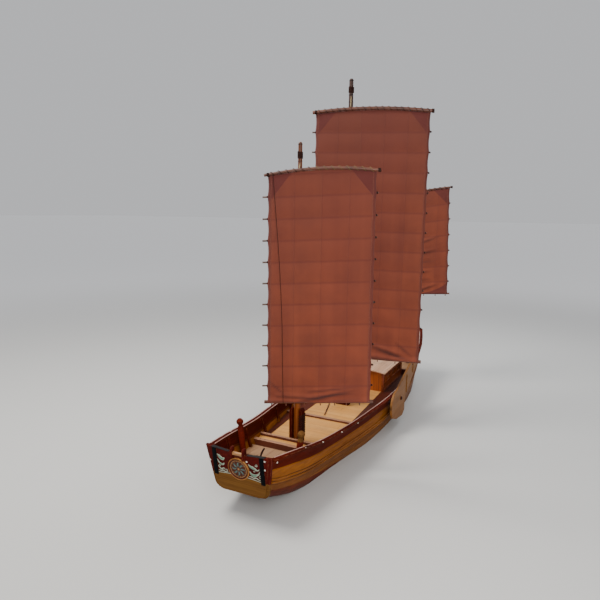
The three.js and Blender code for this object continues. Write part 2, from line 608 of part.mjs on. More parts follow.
// Sails. Each rig turns about its mast; its local X runs along the boom to the leech, its
// local Y away from the sail, which hangs on the bow side of the mast.
function sailRig(mast, sail) {
  const rig = new THREE.Group();
  rig.position.set(mast.x, mast.y, 0);
  rig.rotation.z = SAIL_ANGLE;
  const middle = (sail.head - sail.luff) / 2;
  const half = (sail.head + sail.luff) / 2;
  const boomAt = (a) => sail.low + sail.lowSlope * a;
  const chordAt = (a) => sail.high + sail.highSlope * a;
  const yardAt = (a) => chordAt(a) + sail.bow * (1 - ((a - middle) / half) ** 2);
  const along = (from, to, steps) => Array.from({ length: steps + 1 }, (_, i) => from + (to - from) * i / steps);

  const cloth = new THREE.Shape();
  cloth.moveTo(-sail.luff, boomAt(-sail.luff) + sail.boomRadius + GAP);
  cloth.lineTo(sail.leech, boomAt(sail.leech) + sail.boomRadius + GAP);
  for (const a of along(sail.head, -sail.luff, YARD_STEPS)) {
    cloth.lineTo(a, yardAt(a) - sail.yardRadius - YARD_CLEAR);
  }
  cloth.closePath();
  const sheet = slabAcross(cloth, -sail.off - CLOTH_THICK / 2, -sail.off + CLOTH_THICK / 2);
  const battens = Array.from({ length: sail.battens }, (_, i) => {
    const share = (i + FOOT_PANEL) / (sail.battens + FOOT_PANEL);
    const end = (a) => new THREE.Vector3(a, -sail.off, boomAt(a) + (chordAt(a) - boomAt(a)) * share);
    const leech = THREE.MathUtils.lerp(sail.leech, sail.head, share);
    return bar(end(-sail.luff - sail.past), end(leech + BATTEN_PAST_LEECH), BATTEN_RADIUS, BATTEN_RADIUS, 6);
  });
  addMesh(rig, `${mast.name}_sail`, joined(sheet, ...battens), 'sail');

  // A parrel of the spar's own wood clasps the mast
  const parrel = (z, spar) => {
    const low = z - PARREL.high / 2;
    const inner = (mastRadius(mast, low) + GAP) / Math.cos(Math.PI / PARREL.sides);
    const outer = inner + PARREL.wall;
    const arm = Math.min(PARREL.arm, spar * 0.7);
    return [ring(inner, outer, low, low + PARREL.high, PARREL.sides),
      block(-PARREL.arm, PARREL.arm, -sail.off, -outer + PARREL.wall / 2, z - arm, z + arm)];
  };
  const boomEnd = (a) => new THREE.Vector3(a, -sail.off, boomAt(a));
  const boom = bar(boomEnd(-sail.luff - 60), boomEnd(sail.leech + 60), sail.boomRadius, sail.boomRadius, 10);
  addMesh(rig, `${mast.name}_boom`, joined(boom, ...parrel(boomAt(0), sail.boomRadius)), 'brown');

  const yardPoints = along(-sail.luff - YARD_PAST, sail.head + YARD_PAST, YARD_STEPS)
    .map((a) => new THREE.Vector3(a, -sail.off, yardAt(a)));
  const section = new THREE.Shape().absarc(0, 0, sail.yardRadius, 0, Math.PI * 2, false);
  const yard = new THREE.ExtrudeGeometry(section, {
    steps: YARD_STEPS * 2, curveSegments: 8, bevelEnabled: false,
    extrudePath: new THREE.CatmullRomCurve3(yardPoints),
  });
  addMesh(rig, `${mast.name}_yard`, joined(yard, ...parrel(yardAt(0), sail.yardRadius)), 'brown');
  return rig;
}
for (const mast of MASTS) ship.add(sailRig(mast, SAILS[mast.name]));

// Cabin of separate panels under a cambered roof
const CABIN_STEPS = 12;
function camberAt(y) {
  return CABIN.eaves + CABIN.crown * (1 - (y / CABIN.half) ** 2);
}
function endPanel(openings) {
  const shape = new THREE.Shape();
  shape.moveTo(-CABIN.half, CABIN.foot + GAP);
  shape.lineTo(CABIN.half, CABIN.foot + GAP);
  for (let i = 0; i <= CABIN_STEPS; i += 1) {
    const y = CABIN.half - 2 * CABIN.half * i / CABIN_STEPS;
    shape.lineTo(y, camberAt(y));
  }
  shape.closePath();
  for (const [y0, y1, z0, z1] of openings) shape.holes.push(rectangle(y0, y1, z0, z1));
  return shape;
}
const doorLow = CABIN.foot + DOOR.sill;
const doorway = [-DOOR.width / 2, DOOR.width / 2, doorLow, doorLow + DOOR.height];
addMesh(ship, 'cabin_front', slabAlong(endPanel([doorway]), CABIN.front - CABIN.wall, CABIN.front), 'orange');
addMesh(ship, 'cabin_back', slabAlong(endPanel([BACK_WINDOW]), CABIN.back, CABIN.back + CABIN.wall), 'orange');
for (const [sideName, side] of SIDES) {
  const y0 = side > 0 ? CABIN.half - CABIN.wall : -CABIN.half;
  const wall = block(CABIN.back + CABIN.wall + GAP, CABIN.front - CABIN.wall - GAP, y0, y0 + CABIN.wall,
    CABIN.foot + GAP, CABIN.eaves);
  const windows = SIDE_WINDOWS.map(([a, b]) => block(a, b, y0 - 10, y0 + CABIN.wall + 10, ...SIDE_WINDOW_Z));
  addMesh(ship, `cabin_side_${sideName}`, cut(wall, ...windows), 'orange');
}
function roofShape() {
  const shape = new THREE.Shape();
  const wide = CABIN.half + ROOF_OVER.side;
  const ys = [-wide];
  for (let i = 0; i <= CABIN_STEPS; i += 1) ys.push(-CABIN.half + 2 * CABIN.half * i / CABIN_STEPS);
  ys.push(wide);
  shape.moveTo(ys[0], camberAt(ys[0]) + GAP);
  for (const y of ys.slice(1)) shape.lineTo(y, camberAt(y) + GAP);
  for (const y of ys.reverse()) shape.lineTo(y, camberAt(y) + GAP + CABIN.roof);
  shape.closePath();
  return shape;
}
addMesh(ship, 'cabin_roof', slabAlong(roofShape(), CABIN.back - ROOF_OVER.back, CABIN.front + ROOF_OVER.front), 'pale');
addMesh(ship, 'cabin_door', block(CABIN.front + DOOR.off, CABIN.front + DOOR.off + DOOR.thick,
  doorway[0] - DOOR.lap, doorway[1] + DOOR.lap, doorway[2] - DOOR.lap, doorway[3] + DOOR.lap), 'orange');

// Rudder: blade and stock in one, hung in the transom's jaws, and its tiller
const lean = stockTurn.matrixWorld;
const headUp = alongStock(RUDDER.head);
const stock = bar(new THREE.Vector3(0, 0, 0), new THREE.Vector3(0, 0, headUp), RUDDER.stock, RUDDER.stock, 16);
const collarLow = alongStock(GUDGEONS.heights[1]) + GUDGEONS.deep + GAP;
const collar = bar(new THREE.Vector3(0, 0, collarLow), new THREE.Vector3(0, 0, collarLow + RUDDER.collarDeep),
  RUDDER.collar, RUDDER.collar, 16);
const outlineShape = (outline) => new THREE.Shape(outline.map(([x, z]) => new THREE.Vector2(x, z)));
const blade = slabAcross(outlineShape(BLADE_OUTLINE), -RUDDER.thick / 2, RUDDER.thick / 2);
addMesh(ship, 'rudder', joined(stock, collar, blade).applyMatrix4(lean), 'brown');
const tillerFrom = new THREE.Vector3(0, 0, alongStock(TILLER.z)).applyMatrix4(lean);
const tillerTo = new THREE.Vector3(tillerFrom.x + TILLER.length, 0, TILLER.z - TILLER.drop);
const stockSeat = bar(new THREE.Vector3(0, 0, 0), new THREE.Vector3(0, 0, headUp + TILLER.radius),
  RUDDER.stock + GAP, RUDDER.stock + GAP, 16).applyMatrix4(lean);
addMesh(ship, 'tiller', cut(bar(tillerFrom, tillerTo, TILLER.radius, TILLER.tip, 10), stockSeat), 'brown');

// Stern gallery: two arms and a cross rail that guard the rudder head
const GALLERY = { aft: -6290, rail: 90, low: 1850, high: 2000, y: 620, width: 80 };
function sternFaceX(z) {
  return STERN.x - 2 * GAP - TRANSOM_THICK + STERN.rake * (z - RAKE_HEIGHT);
}
function galleryArm(y0) {
  const shape = new THREE.Shape();
  shape.moveTo(GALLERY.aft, GALLERY.low + 60);
  shape.lineTo(sternFaceX(GALLERY.low), GALLERY.low);
  shape.lineTo(sternFaceX(GALLERY.high), GALLERY.high);
  shape.lineTo(GALLERY.aft, GALLERY.high + 60);
  shape.closePath();
  return slabAcross(shape, y0, y0 + GALLERY.width);
}
const galleryRail = block(GALLERY.aft - 20, GALLERY.aft + GALLERY.rail, -GALLERY.y - GALLERY.width - 40,
  GALLERY.y + GALLERY.width + 40, GALLERY.low + 70, GALLERY.high + 50);
addMesh(ship, 'stern_gallery', joined(galleryArm(GALLERY.y), galleryArm(-GALLERY.y - GALLERY.width),
  galleryRail), 'maroon');

// Leeboards, broad blades that turn on the pins outside the bulwarks
for (const [sideName, side] of SIDES) {
  const near = side * LEEBOARD.y;
  const far = side * (LEEBOARD.y + LEEBOARD.thick);
  const board = slabAcross(outlineShape(LEEBOARD_OUTLINE), Math.min(near, far), Math.max(near, far));
  const at = (y) => new THREE.Vector3(LEEBOARD.pivotX, side * y, LEEBOARD.pivotZ);
  const bore = (LEEBOARD_PIN.radius + GAP) / Math.cos(Math.PI / LEEBOARD_PIN.sides);
  const hole = bar(at(LEEBOARD.y - 10), at(LEEBOARD.y + LEEBOARD.thick + 10), bore, bore, LEEBOARD_PIN.sides);
  addMesh(ship, `leeboard_${sideName}`, cut(board, hole), 'brown');
}

export default ship;
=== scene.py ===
from functools import partial
from math import atan, atan2, cos, hypot, pi, radians, sin, tau

import bmesh
import bpy
from mathutils import Matrix, Vector, noise
from mathutils.bvhtree import BVHTree


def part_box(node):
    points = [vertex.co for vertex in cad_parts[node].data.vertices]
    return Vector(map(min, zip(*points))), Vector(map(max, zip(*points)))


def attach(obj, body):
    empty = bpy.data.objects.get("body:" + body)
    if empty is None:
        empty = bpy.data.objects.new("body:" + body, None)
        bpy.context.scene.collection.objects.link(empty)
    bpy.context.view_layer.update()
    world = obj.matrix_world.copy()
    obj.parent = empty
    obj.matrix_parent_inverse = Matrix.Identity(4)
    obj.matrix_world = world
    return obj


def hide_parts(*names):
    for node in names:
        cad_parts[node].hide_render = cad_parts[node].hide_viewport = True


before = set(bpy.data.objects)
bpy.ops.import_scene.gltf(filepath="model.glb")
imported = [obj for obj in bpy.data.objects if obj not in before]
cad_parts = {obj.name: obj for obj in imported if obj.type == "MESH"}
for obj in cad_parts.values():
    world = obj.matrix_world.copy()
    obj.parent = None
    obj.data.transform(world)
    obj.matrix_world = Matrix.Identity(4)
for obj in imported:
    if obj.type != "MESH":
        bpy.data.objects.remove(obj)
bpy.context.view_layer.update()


# The camera. It stands high off the port bow and looks down a little along the ship, with the
# slight roll of the picture.
PICTURE, FOCAL_PIXELS, FILM_WIDTH, SIGHT_END = 600, 540, 36, 900
HORIZON_UP, HORIZON_SLOPE = 87.2, 0.0129
HEADING, PITCH, ROLL = radians(26), atan(HORIZON_UP / FOCAL_PIXELS), atan(HORIZON_SLOPE)
EYE = Vector((14.438, 5.531, 6.47))
forward = Vector((-cos(HEADING) * cos(PITCH), -sin(HEADING) * cos(PITCH), -sin(PITCH)))
level_right = Vector((-sin(HEADING), cos(HEADING), 0))
right = level_right * cos(ROLL) + level_right.cross(forward) * sin(ROLL)
up = right.cross(forward)
camera = bpy.data.objects.new("camera", bpy.data.cameras.new("camera"))
camera.data.sensor_width = FILM_WIDTH
camera.data.lens = FILM_WIDTH * FOCAL_PIXELS / PICTURE
camera.data.clip_end = SIGHT_END
camera.matrix_world = Matrix.Translation(EYE) @ Matrix((right, up, -forward)).transposed().to_4x4()
bpy.context.collection.objects.link(camera)
bpy.context.scene.camera = camera


# The light. A broad soft source high over the starboard bow, a low one from the port bow that
# fills the hull's side, and one from astern that parts the sails from the ground.
def soft_light(name, place, target, size, watts, colour):
    lamp = bpy.data.lights.new(name, "AREA")
    lamp.shape, lamp.size, lamp.energy, lamp.color = "DISK", size, watts, colour
    stand = bpy.data.objects.new(name, lamp)
    aim = Vector(target) - Vector(place)
    stand.matrix_world = Matrix.Translation(place) @ aim.to_track_quat("-Z", "Y").to_matrix().to_4x4()
    bpy.context.collection.objects.link(stand)


soft_light("key_light", (6, -8, 20), (1, 0, 2), 9, 4600, (1.0, 0.96, 0.90))
soft_light("port_light", (16, 9, 8), (0, 0, 3), 9, 1900, (1.0, 0.97, 0.93))
soft_light("stern_light", (-13, 3, 14), (0, 0, 3), 8, 1200, (0.95, 0.98, 1.0))
SKY_COLOUR, SKY_STRENGTH = (0.96, 0.97, 1.0), 0.60
sky = bpy.data.worlds.new("sky")
sky.use_nodes = True
backdrop = sky.node_tree.nodes["Background"].inputs
backdrop["Color"].default_value = (*SKY_COLOUR, 1)
backdrop["Strength"].default_value = SKY_STRENGTH
bpy.context.scene.world = sky


# The ground. A plain pale floor that meets the hull at its waterline. Far off it glows up to
# the sky's own tone, so that no horizon cuts the picture.
def paint(red, green, blue, richer=1.16, deeper=0.80):
    """A colour as the eye sees it, 0 to 255 a channel, made richer and deeper, as soft light pales it."""
    linear = [((c / 255 + 0.055) / 1.055) ** 2.4 if c > 10 else c / 255 / 12.92 for c in (red, green, blue)]
    grey = sum(linear) / 3
    return (*(max(0.0, grey + (c - grey) * richer) * deeper for c in linear), 1)


def feed(socket, value):
    """Puts a link, a number or a colour of 0 to 255 a channel into a node's input."""
    if isinstance(value, bpy.types.NodeSocket):
        socket.id_data.links.new(value, socket)
    else:
        socket.default_value = paint(*value) if socket.type == "RGBA" else value


def add_node(near, kind, inputs=None, **settings):
    """A node in the same tree as the socket or node that it stands near."""
    made = near.id_data.nodes.new(f"ShaderNode{kind}")
    for key, value in settings.items():
        setattr(made, key, value)
    for key, value in (inputs or {}).items():
        feed(made.inputs[key], value)
    return made


def ramp(value, from_low, from_high, to_low=0.0, to_high=1.0, **settings):
    return add_node(value, "MapRange", {"Value": value, "From Min": from_low, "From Max": from_high,
                                        "To Min": to_low, "To Max": to_high}, **settings).outputs["Result"]


def new_finish(name, **shader_values):
    """A material and its shader, and the piece's own place in metres: the vector and its parts."""
    material = bpy.data.materials.new(name)
    material.use_nodes = True
    shader = material.node_tree.nodes["Principled BSDF"]
    for key, value in shader_values.items():
        shader.inputs[key.replace("_", " ")].default_value = value
    place = add_node(shader, "TexCoord").outputs["Object"]
    return material, shader, place, *add_node(shader, "SeparateXYZ", {"Vector": place}).outputs


WATERLINE, FLOOR_HALF = 0.30, 500
bm = bmesh.new()
bmesh.ops.create_grid(bm, x_segments=1, y_segments=1, size=FLOOR_HALF,
                      matrix=Matrix.Translation((0, 0, WATERLINE)))
floor_mesh = bpy.data.meshes.new("floor")
bm.to_mesh(floor_mesh)
bm.free()
floor = bpy.data.objects.new("floor", floor_mesh)
bpy.context.collection.objects.link(floor)
FLOOR_COLOUR, GLOW_FROM, GLOW_FULL = (0.53, 0.53, 0.52), 7, 42
floor_finish, shader, place = new_finish("floor_finish", Base_Color=(*FLOOR_COLOUR, 1), Roughness=0.7,
                                         Emission_Strength=SKY_STRENGTH)[:3]
far_off = add_node(place, "VectorMath", {0: place}, operation="LENGTH").outputs["Value"]
glow = ramp(far_off, GLOW_FROM, GLOW_FULL, interpolation_type="SMOOTHERSTEP")
missing = [c * (1 - own) for c, own in zip(SKY_COLOUR, FLOOR_COLOUR)]
lit = add_node(place, "VectorMath", {0: missing, "Scale": glow}, operation="SCALE").outputs["Vector"]
feed(shader.inputs["Emission Color"], lit)
floor_mesh.materials.append(floor_finish)


# Bottom planking. Thick dark-oiled planks laid from chine to chine, close caulked.
def maths(operation, *values, clamp=False):
    near = next(value for value in values if isinstance(value, bpy.types.NodeSocket))
    made = add_node(near, "Math", dict(enumerate(values)), operation=operation, use_clamp=clamp)
    return made.outputs["Value"]


plus, minus, times, over, size_of, smaller, larger, less, more, whole, sine, power = (
    partial(maths, operation) for operation in (
        "ADD", "SUBTRACT", "MULTIPLY", "DIVIDE", "ABSOLUTE", "MINIMUM", "MAXIMUM", "LESS_THAN",
        "GREATER_THAN", "FLOOR", "SINE", "POWER"))


def mix(share, below, above):
    """Two colours blended, the one below where the share is 0 and the one above where it is 1."""
    made = add_node(share, "Mix", data_type="RGBA")
    for key, value in (("Factor", share), ("A", below), ("B", above)):
        feed(next(s for s in made.inputs if s.name == key and s.enabled), value)
    return next(s for s in made.outputs if s.enabled)


def clouds(place, scale, detail, rough=0.5, bend=0.0):
    return add_node(place, "TexNoise", {"Vector": place, "Scale": scale, "Detail": detail, "Roughness": rough,
                                        "Distortion": bend}).outputs["Fac"]


def mapped(place, turn=(0, 0, 0), scale=(1, 1, 1)):
    return add_node(place, "Mapping", {"Vector": place, "Rotation": turn, "Scale": scale}).outputs["Vector"]


def node_group(name, inputs, outputs):
    """A shader group, with the kinds of its named inputs and outputs."""
    group = bpy.data.node_groups.new(name, "ShaderNodeTree")
    for way, sockets in (("INPUT", inputs), ("OUTPUT", outputs)):
        for label, kind in sockets.items():
            group.interface.new_socket(label, in_out=way, socket_type=f"NodeSocket{kind}")
    return group, group.nodes.new("NodeGroupInput").outputs, group.nodes.new("NodeGroupOutput").inputs


def give(result, *values):
    for socket, value in zip(result, values):
        feed(socket, value)


def grouped(near, group, **inputs):
    made = add_node(near, "Group", node_tree=group)
    for key, value in inputs.items():
        feed(made.inputs[key], value)
    return made.outputs


# timber: straight grain along X of its vector, with a slow figure and pores
timber, given, result = node_group(
    "timber", dict(Vector="Vector", Light="Color", Dark="Color", Fineness="Float"),
    dict(Color="Color", Height="Float", Roughness="Float"))
grain = clouds(mapped(given["Vector"], scale=(0.9, 22, 22)), given["Fineness"], 6, 0.62, 0.4)
figure = clouds(mapped(given["Vector"], scale=(0.35, 2.6, 2.6)), 1.3, 3)
streak = plus(times(grain, 0.65), times(figure, 0.5))
give(result, mix(ramp(streak, 0.36, 0.78), given["Dark"], given["Light"]), grain,
     ramp(figure, 0.0, 1.0, 0.62, 0.42))

# seams: dark caulked lines every board's width across one coordinate, and a shade for each board
seams, given, result = node_group("seams", dict(Across="Float", Board="Float", Gap="Float"),
                                  dict(Line="Float", Shade="Float"))
course = over(given["Across"], given["Board"])
part = maths("FRACT", course)
to_seam = times(smaller(part, minus(1.0, part)), given["Board"])
chance = add_node(course, "TexWhiteNoise", {"W": whole(course)}, noise_dimensions="1D").outputs["Value"]
give(result, ramp(to_seam, 0.0, given["Gap"], 1.0, 0.0), chance)

# worn edges: where the surface turns sharply within the radius, broken up by noise
worn, given, result = node_group("worn_edges", dict(Amount="Float"), dict(Mask="Float"))
amount = given["Amount"]
rounded = add_node(amount, "Bevel", {"Radius": 0.012}, samples=4).outputs["Normal"]
true_way = add_node(amount, "NewGeometry").outputs["Normal"]
turn = add_node(amount, "VectorMath", {0: rounded, 1: true_way}, operation="DOT_PRODUCT").outputs["Value"]
patches = ramp(clouds(add_node(amount, "TexCoord").outputs["Object"], 9.0, 4), 0.4, 0.6)
give(result, times(times(ramp(turn, 0.995, 0.88), patches), amount, clamp=True))

# strakes: how far down the side a place lies, as a share that follows the rail's sweep, and how
# high above the bottom's edge
RAIL_LINE = [(-5.46, 2.17), (-4.7, 1.88), (-3.8, 1.65), (-2.6, 1.455), (-1.2, 1.315), (0, 1.285), (1.2, 1.30),
             (2.3, 1.338), (3.3, 1.385), (4.1, 1.467), (4.9, 1.596), (5.69, 1.706)]
SIDE_DEPTH = [(-5.46, 0.92), (-3.8, 0.90), (-2.6, 0.87), (0, 0.84), (2.3, 0.87), (3.3, 0.90), (4.1, 0.94),
              (4.9, 0.88), (5.69, 0.70)]
BOTTOM_LINE = [(-5.46, 0.56), (-4.7, 0.30), (-3.8, 0.10), (-2.6, 0.0), (2.3, 0.025), (3.3, 0.12), (4.1, 0.27),
               (4.9, 0.47), (5.69, 0.79)]
HULL_FROM, HULL_LONG = -5.5, 11.3


def along_hull(x, points, top):
    """A height or share that changes along the hull, by a curve through its points."""
    bend = add_node(x, "FloatCurve", {"Value": over(minus(x, HULL_FROM), HULL_LONG)})
    curve = bend.mapping.curves[0]
    first, *between, last = [((px - HULL_FROM) / HULL_LONG, py / top) for px, py in points]
    curve.points[0].location, curve.points[1].location = first, last
    for spot in between:
        curve.points.new(*spot)
    bend.mapping.update()
    return times(bend.outputs["Value"], top)


strakes, given, result = node_group("strakes", dict(Vector="Vector"), dict(Drop="Float", Rise="Float"))
x, y, z = add_node(given["Vector"], "SeparateXYZ", {"Vector": given["Vector"]}).outputs
give(result, over(minus(along_hull(x, RAIL_LINE, 2.3), z), along_hull(x, SIDE_DEPTH, 1.0)),
     minus(z, along_hull(x, BOTTOM_LINE, 1.0)))


def planed(place, light, dark, fineness=1.2, turn=None):
    """Timber in two tones: its colour, height and roughness. The grain runs along X unless turned."""
    return grouped(place, timber, Vector=mapped(place, turn) if turn else place, Light=light, Dark=dark,
                   Fineness=fineness)


def caulk(across, board, gap):
    """Seams between boards of a width: the line's mask and a shade for each board."""
    return grouped(across, seams, Across=across, Board=board, Gap=gap)


def bump(shader, height, distance):
    relief = add_node(shader, "Bump", {"Height": height, "Distance": distance})
    feed(shader.inputs["Normal"], relief.outputs["Normal"])


def finish_wood(shader, colour, dull, height, depth=0.002):
    feed(shader.inputs["Base Color"], colour)
    feed(shader.inputs["Roughness"], dull)
    bump(shader, height, depth)


def finish_planks(shader, wood, seam, board_tone, seam_tone, shares, depth):
    """Wood with a tone for each board and dark seams sunk between them; shares of both and of the grain."""
    (colour, height, dull), (line, shade) = wood, seam
    board_share, seam_share, relief = shares
    colour = mix(times(line, seam_share), mix(times(shade, board_share), colour, board_tone), seam_tone)
    finish_wood(shader, colour, dull, minus(times(height, relief), line), depth)


def put(name, data, body, node_name=None):
    """A mesh or curve made an object that rides on a body and, when a node is named, stands for that CAD
    node.
    """
    piece = bpy.data.objects.new(name, data)
    bpy.context.collection.objects.link(piece)
    if node_name:
        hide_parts(node_name)
    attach(piece, body)
    return piece


def shaded(bm, name, material, sharp):
    """The mesh shaded smooth but for its sharp edges."""
    for face in bm.faces:
        face.smooth = True
    mesh = bpy.data.meshes.new(name)
    bm.to_mesh(mesh)
    bm.free()
    mesh.set_sharp_from_angle(angle=radians(sharp))
    mesh.materials.append(material)
    return mesh


def softened(node_name, piece_name, body, material, width, angle=30):
    """A smooth-shaded copy of a CAD node with its edges rounded off, which stands for the node."""
    bm = bmesh.new()
    bm.from_mesh(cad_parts[node_name].data)
    bmesh.ops.remove_doubles(bm, verts=bm.verts, dist=2e-5)
    bmesh.ops.dissolve_limit(bm, angle_limit=radians(0.4), verts=bm.verts, edges=bm.edges,
                             use_dissolve_boundaries=False)
    piece = put(piece_name, shaded(bm, piece_name, material, angle + 10), body, node_name=node_name)
    if width:
        round_off = piece.modifiers.new("rounded_edges", "BEVEL")
        round_off.width, round_off.segments = width, 2
        round_off.limit_method, round_off.angle_limit = "ANGLE", radians(angle)
        round_off.harden_normals = True


bottom_wood, shader, place, x, y, z = new_finish("bottom_wood", Specular_IOR_Level=0.1)
drop, rise = grouped(place, strakes, Vector=place)
finish_planks(shader, planed(place, (112, 52, 33), (58, 24, 18)), caulk(plus(rise, size_of(y)), 0.21, 0.008),
              (60, 26, 20), (24, 12, 10), (0.35, 0.85, 0.25), 0.006)
softened("bottom_planking", "bottom_planks", "root", bottom_wood, 0.008)


# Side planking. One broad orange-oiled strake under the bulwark, two half-round wales below
# it, and darker strakes down to the bilge, spiked to the ribs.
SIDES = {"port": 1, "starboard": -1}
OILED_TONES = (156, 98, 50), (96, 54, 28)
WALES_FROM, WALES_END, WALE_SHARE = 0.60, 0.805, 0.0975
side_wood, shader, place, x, y, z = new_finish("side_wood", Specular_IOR_Level=0.07)
drop, rise = grouped(place, strakes, Vector=place)
strake_colour, height, dull = planed(place, *OILED_TONES, 1.0)
low_colour = planed(place, (154, 98, 54), (90, 52, 28), 1.0)["Color"]
below_wales = ramp(drop, WALES_END - 0.005, WALES_END + 0.005)
low_line, shade = caulk(minus(drop, WALES_END), 0.17, 0.007)
wale_line = caulk(minus(drop, WALES_FROM + 0.01), WALE_SHARE, 0.012)["Line"]
in_wales = times(more(drop, WALES_FROM), less(drop, WALES_END + 0.01))
butt_line = caulk(plus(x, times(whole(over(drop, 0.2)), 1.37)), 3.1, 0.006)["Line"]
line = larger(larger(times(low_line, below_wales), times(wale_line, in_wales)), times(butt_line, 0.7))
finish_planks(shader, (mix(below_wales, strake_colour, low_colour), height, dull), (line, shade),
              (84, 40, 24), (38, 18, 12), (0.25, 0.85, 0.25), 0.006)
for side_name in SIDES:
    softened(f"side_planking_{side_name}", f"side_planks_{side_name}", "root", side_wood, 0.0)


# Bulwarks. Planks painted dark maroon outside, in two lengths a side, with ribs inside and a
# flat rail cap. Half-round beads run along the cap, their pale colour a painted highlight along
# the rail's edges, and domed wooden caps cover the heads of the bolts that hold the ribs.
def rubbed(near, amount):
    """The mask of the edges that hands and ropes have rubbed bare."""
    return grouped(near, worn, Amount=amount)["Mask"]


def painted_wood(name, light, dark, bare, edge_amount, coat=0.0):
    """Old brush-laid paint over planks, a little uneven, rubbed through along its edges."""
    material, shader, place, x, y, z = new_finish(name, Coat_Weight=coat, Coat_Roughness=0.3,
                                                  Specular_IOR_Level=0.02)
    brushed, height, dull = planed(place, light, dark, 0.8)
    edge = rubbed(place, edge_amount)
    colour = mix(edge, mix(times(clouds(place, 2.2, 5, 0.7), 0.5), brushed, dark), bare)
    finish_wood(shader, colour, dull, plus(times(height, 0.3), times(edge, -0.4)))
    return material, shader, colour, place, x, y, z


def facing(near, axis):
    """How far the surface faces along an axis."""
    normal = add_node(near, "NewGeometry").outputs["Normal"]
    return add_node(near, "SeparateXYZ", {"Vector": normal}).outputs[axis]


def skin_of(*node_names):
    """The nodes' surfaces as one tree, to seat small pieces on."""
    bm = bmesh.new()
    for node_name in node_names:
        bm.from_mesh(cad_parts[node_name].data)
    tree = BVHTree.FromBMesh(bm)
    bm.free()
    return tree


def hit(skin, start, way):
    """Where a line first meets a surface, or None."""
    return skin.ray_cast(Vector(start), Vector(way))[0]


def seen_at(skin, column, row):
    """Where the sight line through a point of the picture meets a surface, and its normal."""
    to_right, to_foot = ((pixel - PICTURE / 2) / FOCAL_PIXELS for pixel in (column, row))
    sight = forward + right * to_right - up * to_foot
    return skin.ray_cast(EYE, sight.normalized())[:2]


def finished(bm, name, body, material):
    """The mesh made an object, with every face turned outward."""
    bmesh.ops.recalc_face_normals(bm, faces=bm.faces)
    put(name, shaded(bm, name, material, 35), body)


def round_curve(name, radius, sides, steps):
    """An empty curve of round section with closed ends."""
    curve = bpy.data.curves.new(name, "CURVE")
    curve.dimensions, curve.use_fill_caps = "3D", True
    curve.bevel_depth, curve.bevel_resolution, curve.resolution_u = radius, sides - 1, steps
    return curve


def add_run(curve, points, smooth=True):
    """A strand through its points, bending smoothly or straight from one to the next."""
    spline = curve.splines.new("BEZIER" if smooth else "POLY")
    knots = spline.bezier_points if smooth else spline.points
    knots.add(len(points) - 1)
    for knot, point in zip(knots, points):
        knot.co = point if smooth else (*point, 1)
        if smooth:
            knot.handle_left_type = knot.handle_right_type = "AUTO"
    return spline


def drawn(name, runs, radius, body, material, slot, closed=False, smooth=True, sides=3):
    """Round strands along runs of points: ropes, beads and rods that bend."""
    curve = round_curve(name, radius, sides, 4)
    for points in runs:
        add_run(curve, points, smooth).use_cyclic_u = closed
    curve.materials.append(material)
    put(name, curve, body)


def dome(bm, place, normal, radius, height, around=12):
    """A low round cap half sunk in the surface at a place."""
    turn = Vector(normal).to_track_quat("Z", "Y").to_matrix().to_4x4()
    flatter = Matrix.Diagonal((1, 1, height / radius, 1))
    bmesh.ops.create_uvsphere(bm, u_segments=around, v_segments=8, radius=radius,
                              matrix=Matrix.Translation(place) @ turn @ flatter)


maroon_paint = painted_wood("maroon_paint", (92, 31, 22), (52, 17, 15), (188, 140, 110), 0.5)[0]
bulwark_paint, shader, colour, place, x, y, z = painted_wood(
    "bulwark_paint", (96, 31, 17), (54, 17, 11), (188, 140, 110), 0.35)
drop, rise = grouped(place, strakes, Vector=place)
outward = times(facing(place, "Y"), y)
inside = less(outward, -0.2)
lining = planed(place, (104, 54, 32), (56, 28, 20), 1.1)["Color"]
lining_line = caulk(plus(drop, 0.03), 0.165, 0.007)["Line"]
colour = mix(times(inside, ramp(drop, 0.30, 0.31)), colour, lining)
colour = mix(times(times(lining_line, inside), 0.8), colour, (30, 12, 12))
paint_depth = ramp(x, 0.0, 4.6, 0.255, 0.325)
below_paint = times(more(drop, paint_depth), more(outward, 0.0))
feed(shader.inputs["Base Color"], mix(below_paint, colour, planed(place, *OILED_TONES, 1.0)["Color"]))
for side_name in SIDES:
    for length_name in ("aft", "fore"):
        softened(f"bulwark_{side_name}_{length_name}", f"bulwark_planks_{side_name}_{length_name}", "root",
                 bulwark_paint, 0.004)


def plain_wood(name, light, dark, fineness=1.2, depth=0.002, turn=None, edge=None, **shader_values):
    """Bare or oiled wood, with its edges rubbed by an amount to a tone where that is given."""
    material, shader, place = new_finish(name, **shader_values)[:3]
    colour, height, dull = planed(place, light, dark, fineness, turn)
    if edge:
        colour = mix(rubbed(place, edge[0]), colour, edge[1])
    finish_wood(shader, colour, dull, height, depth)
    return material
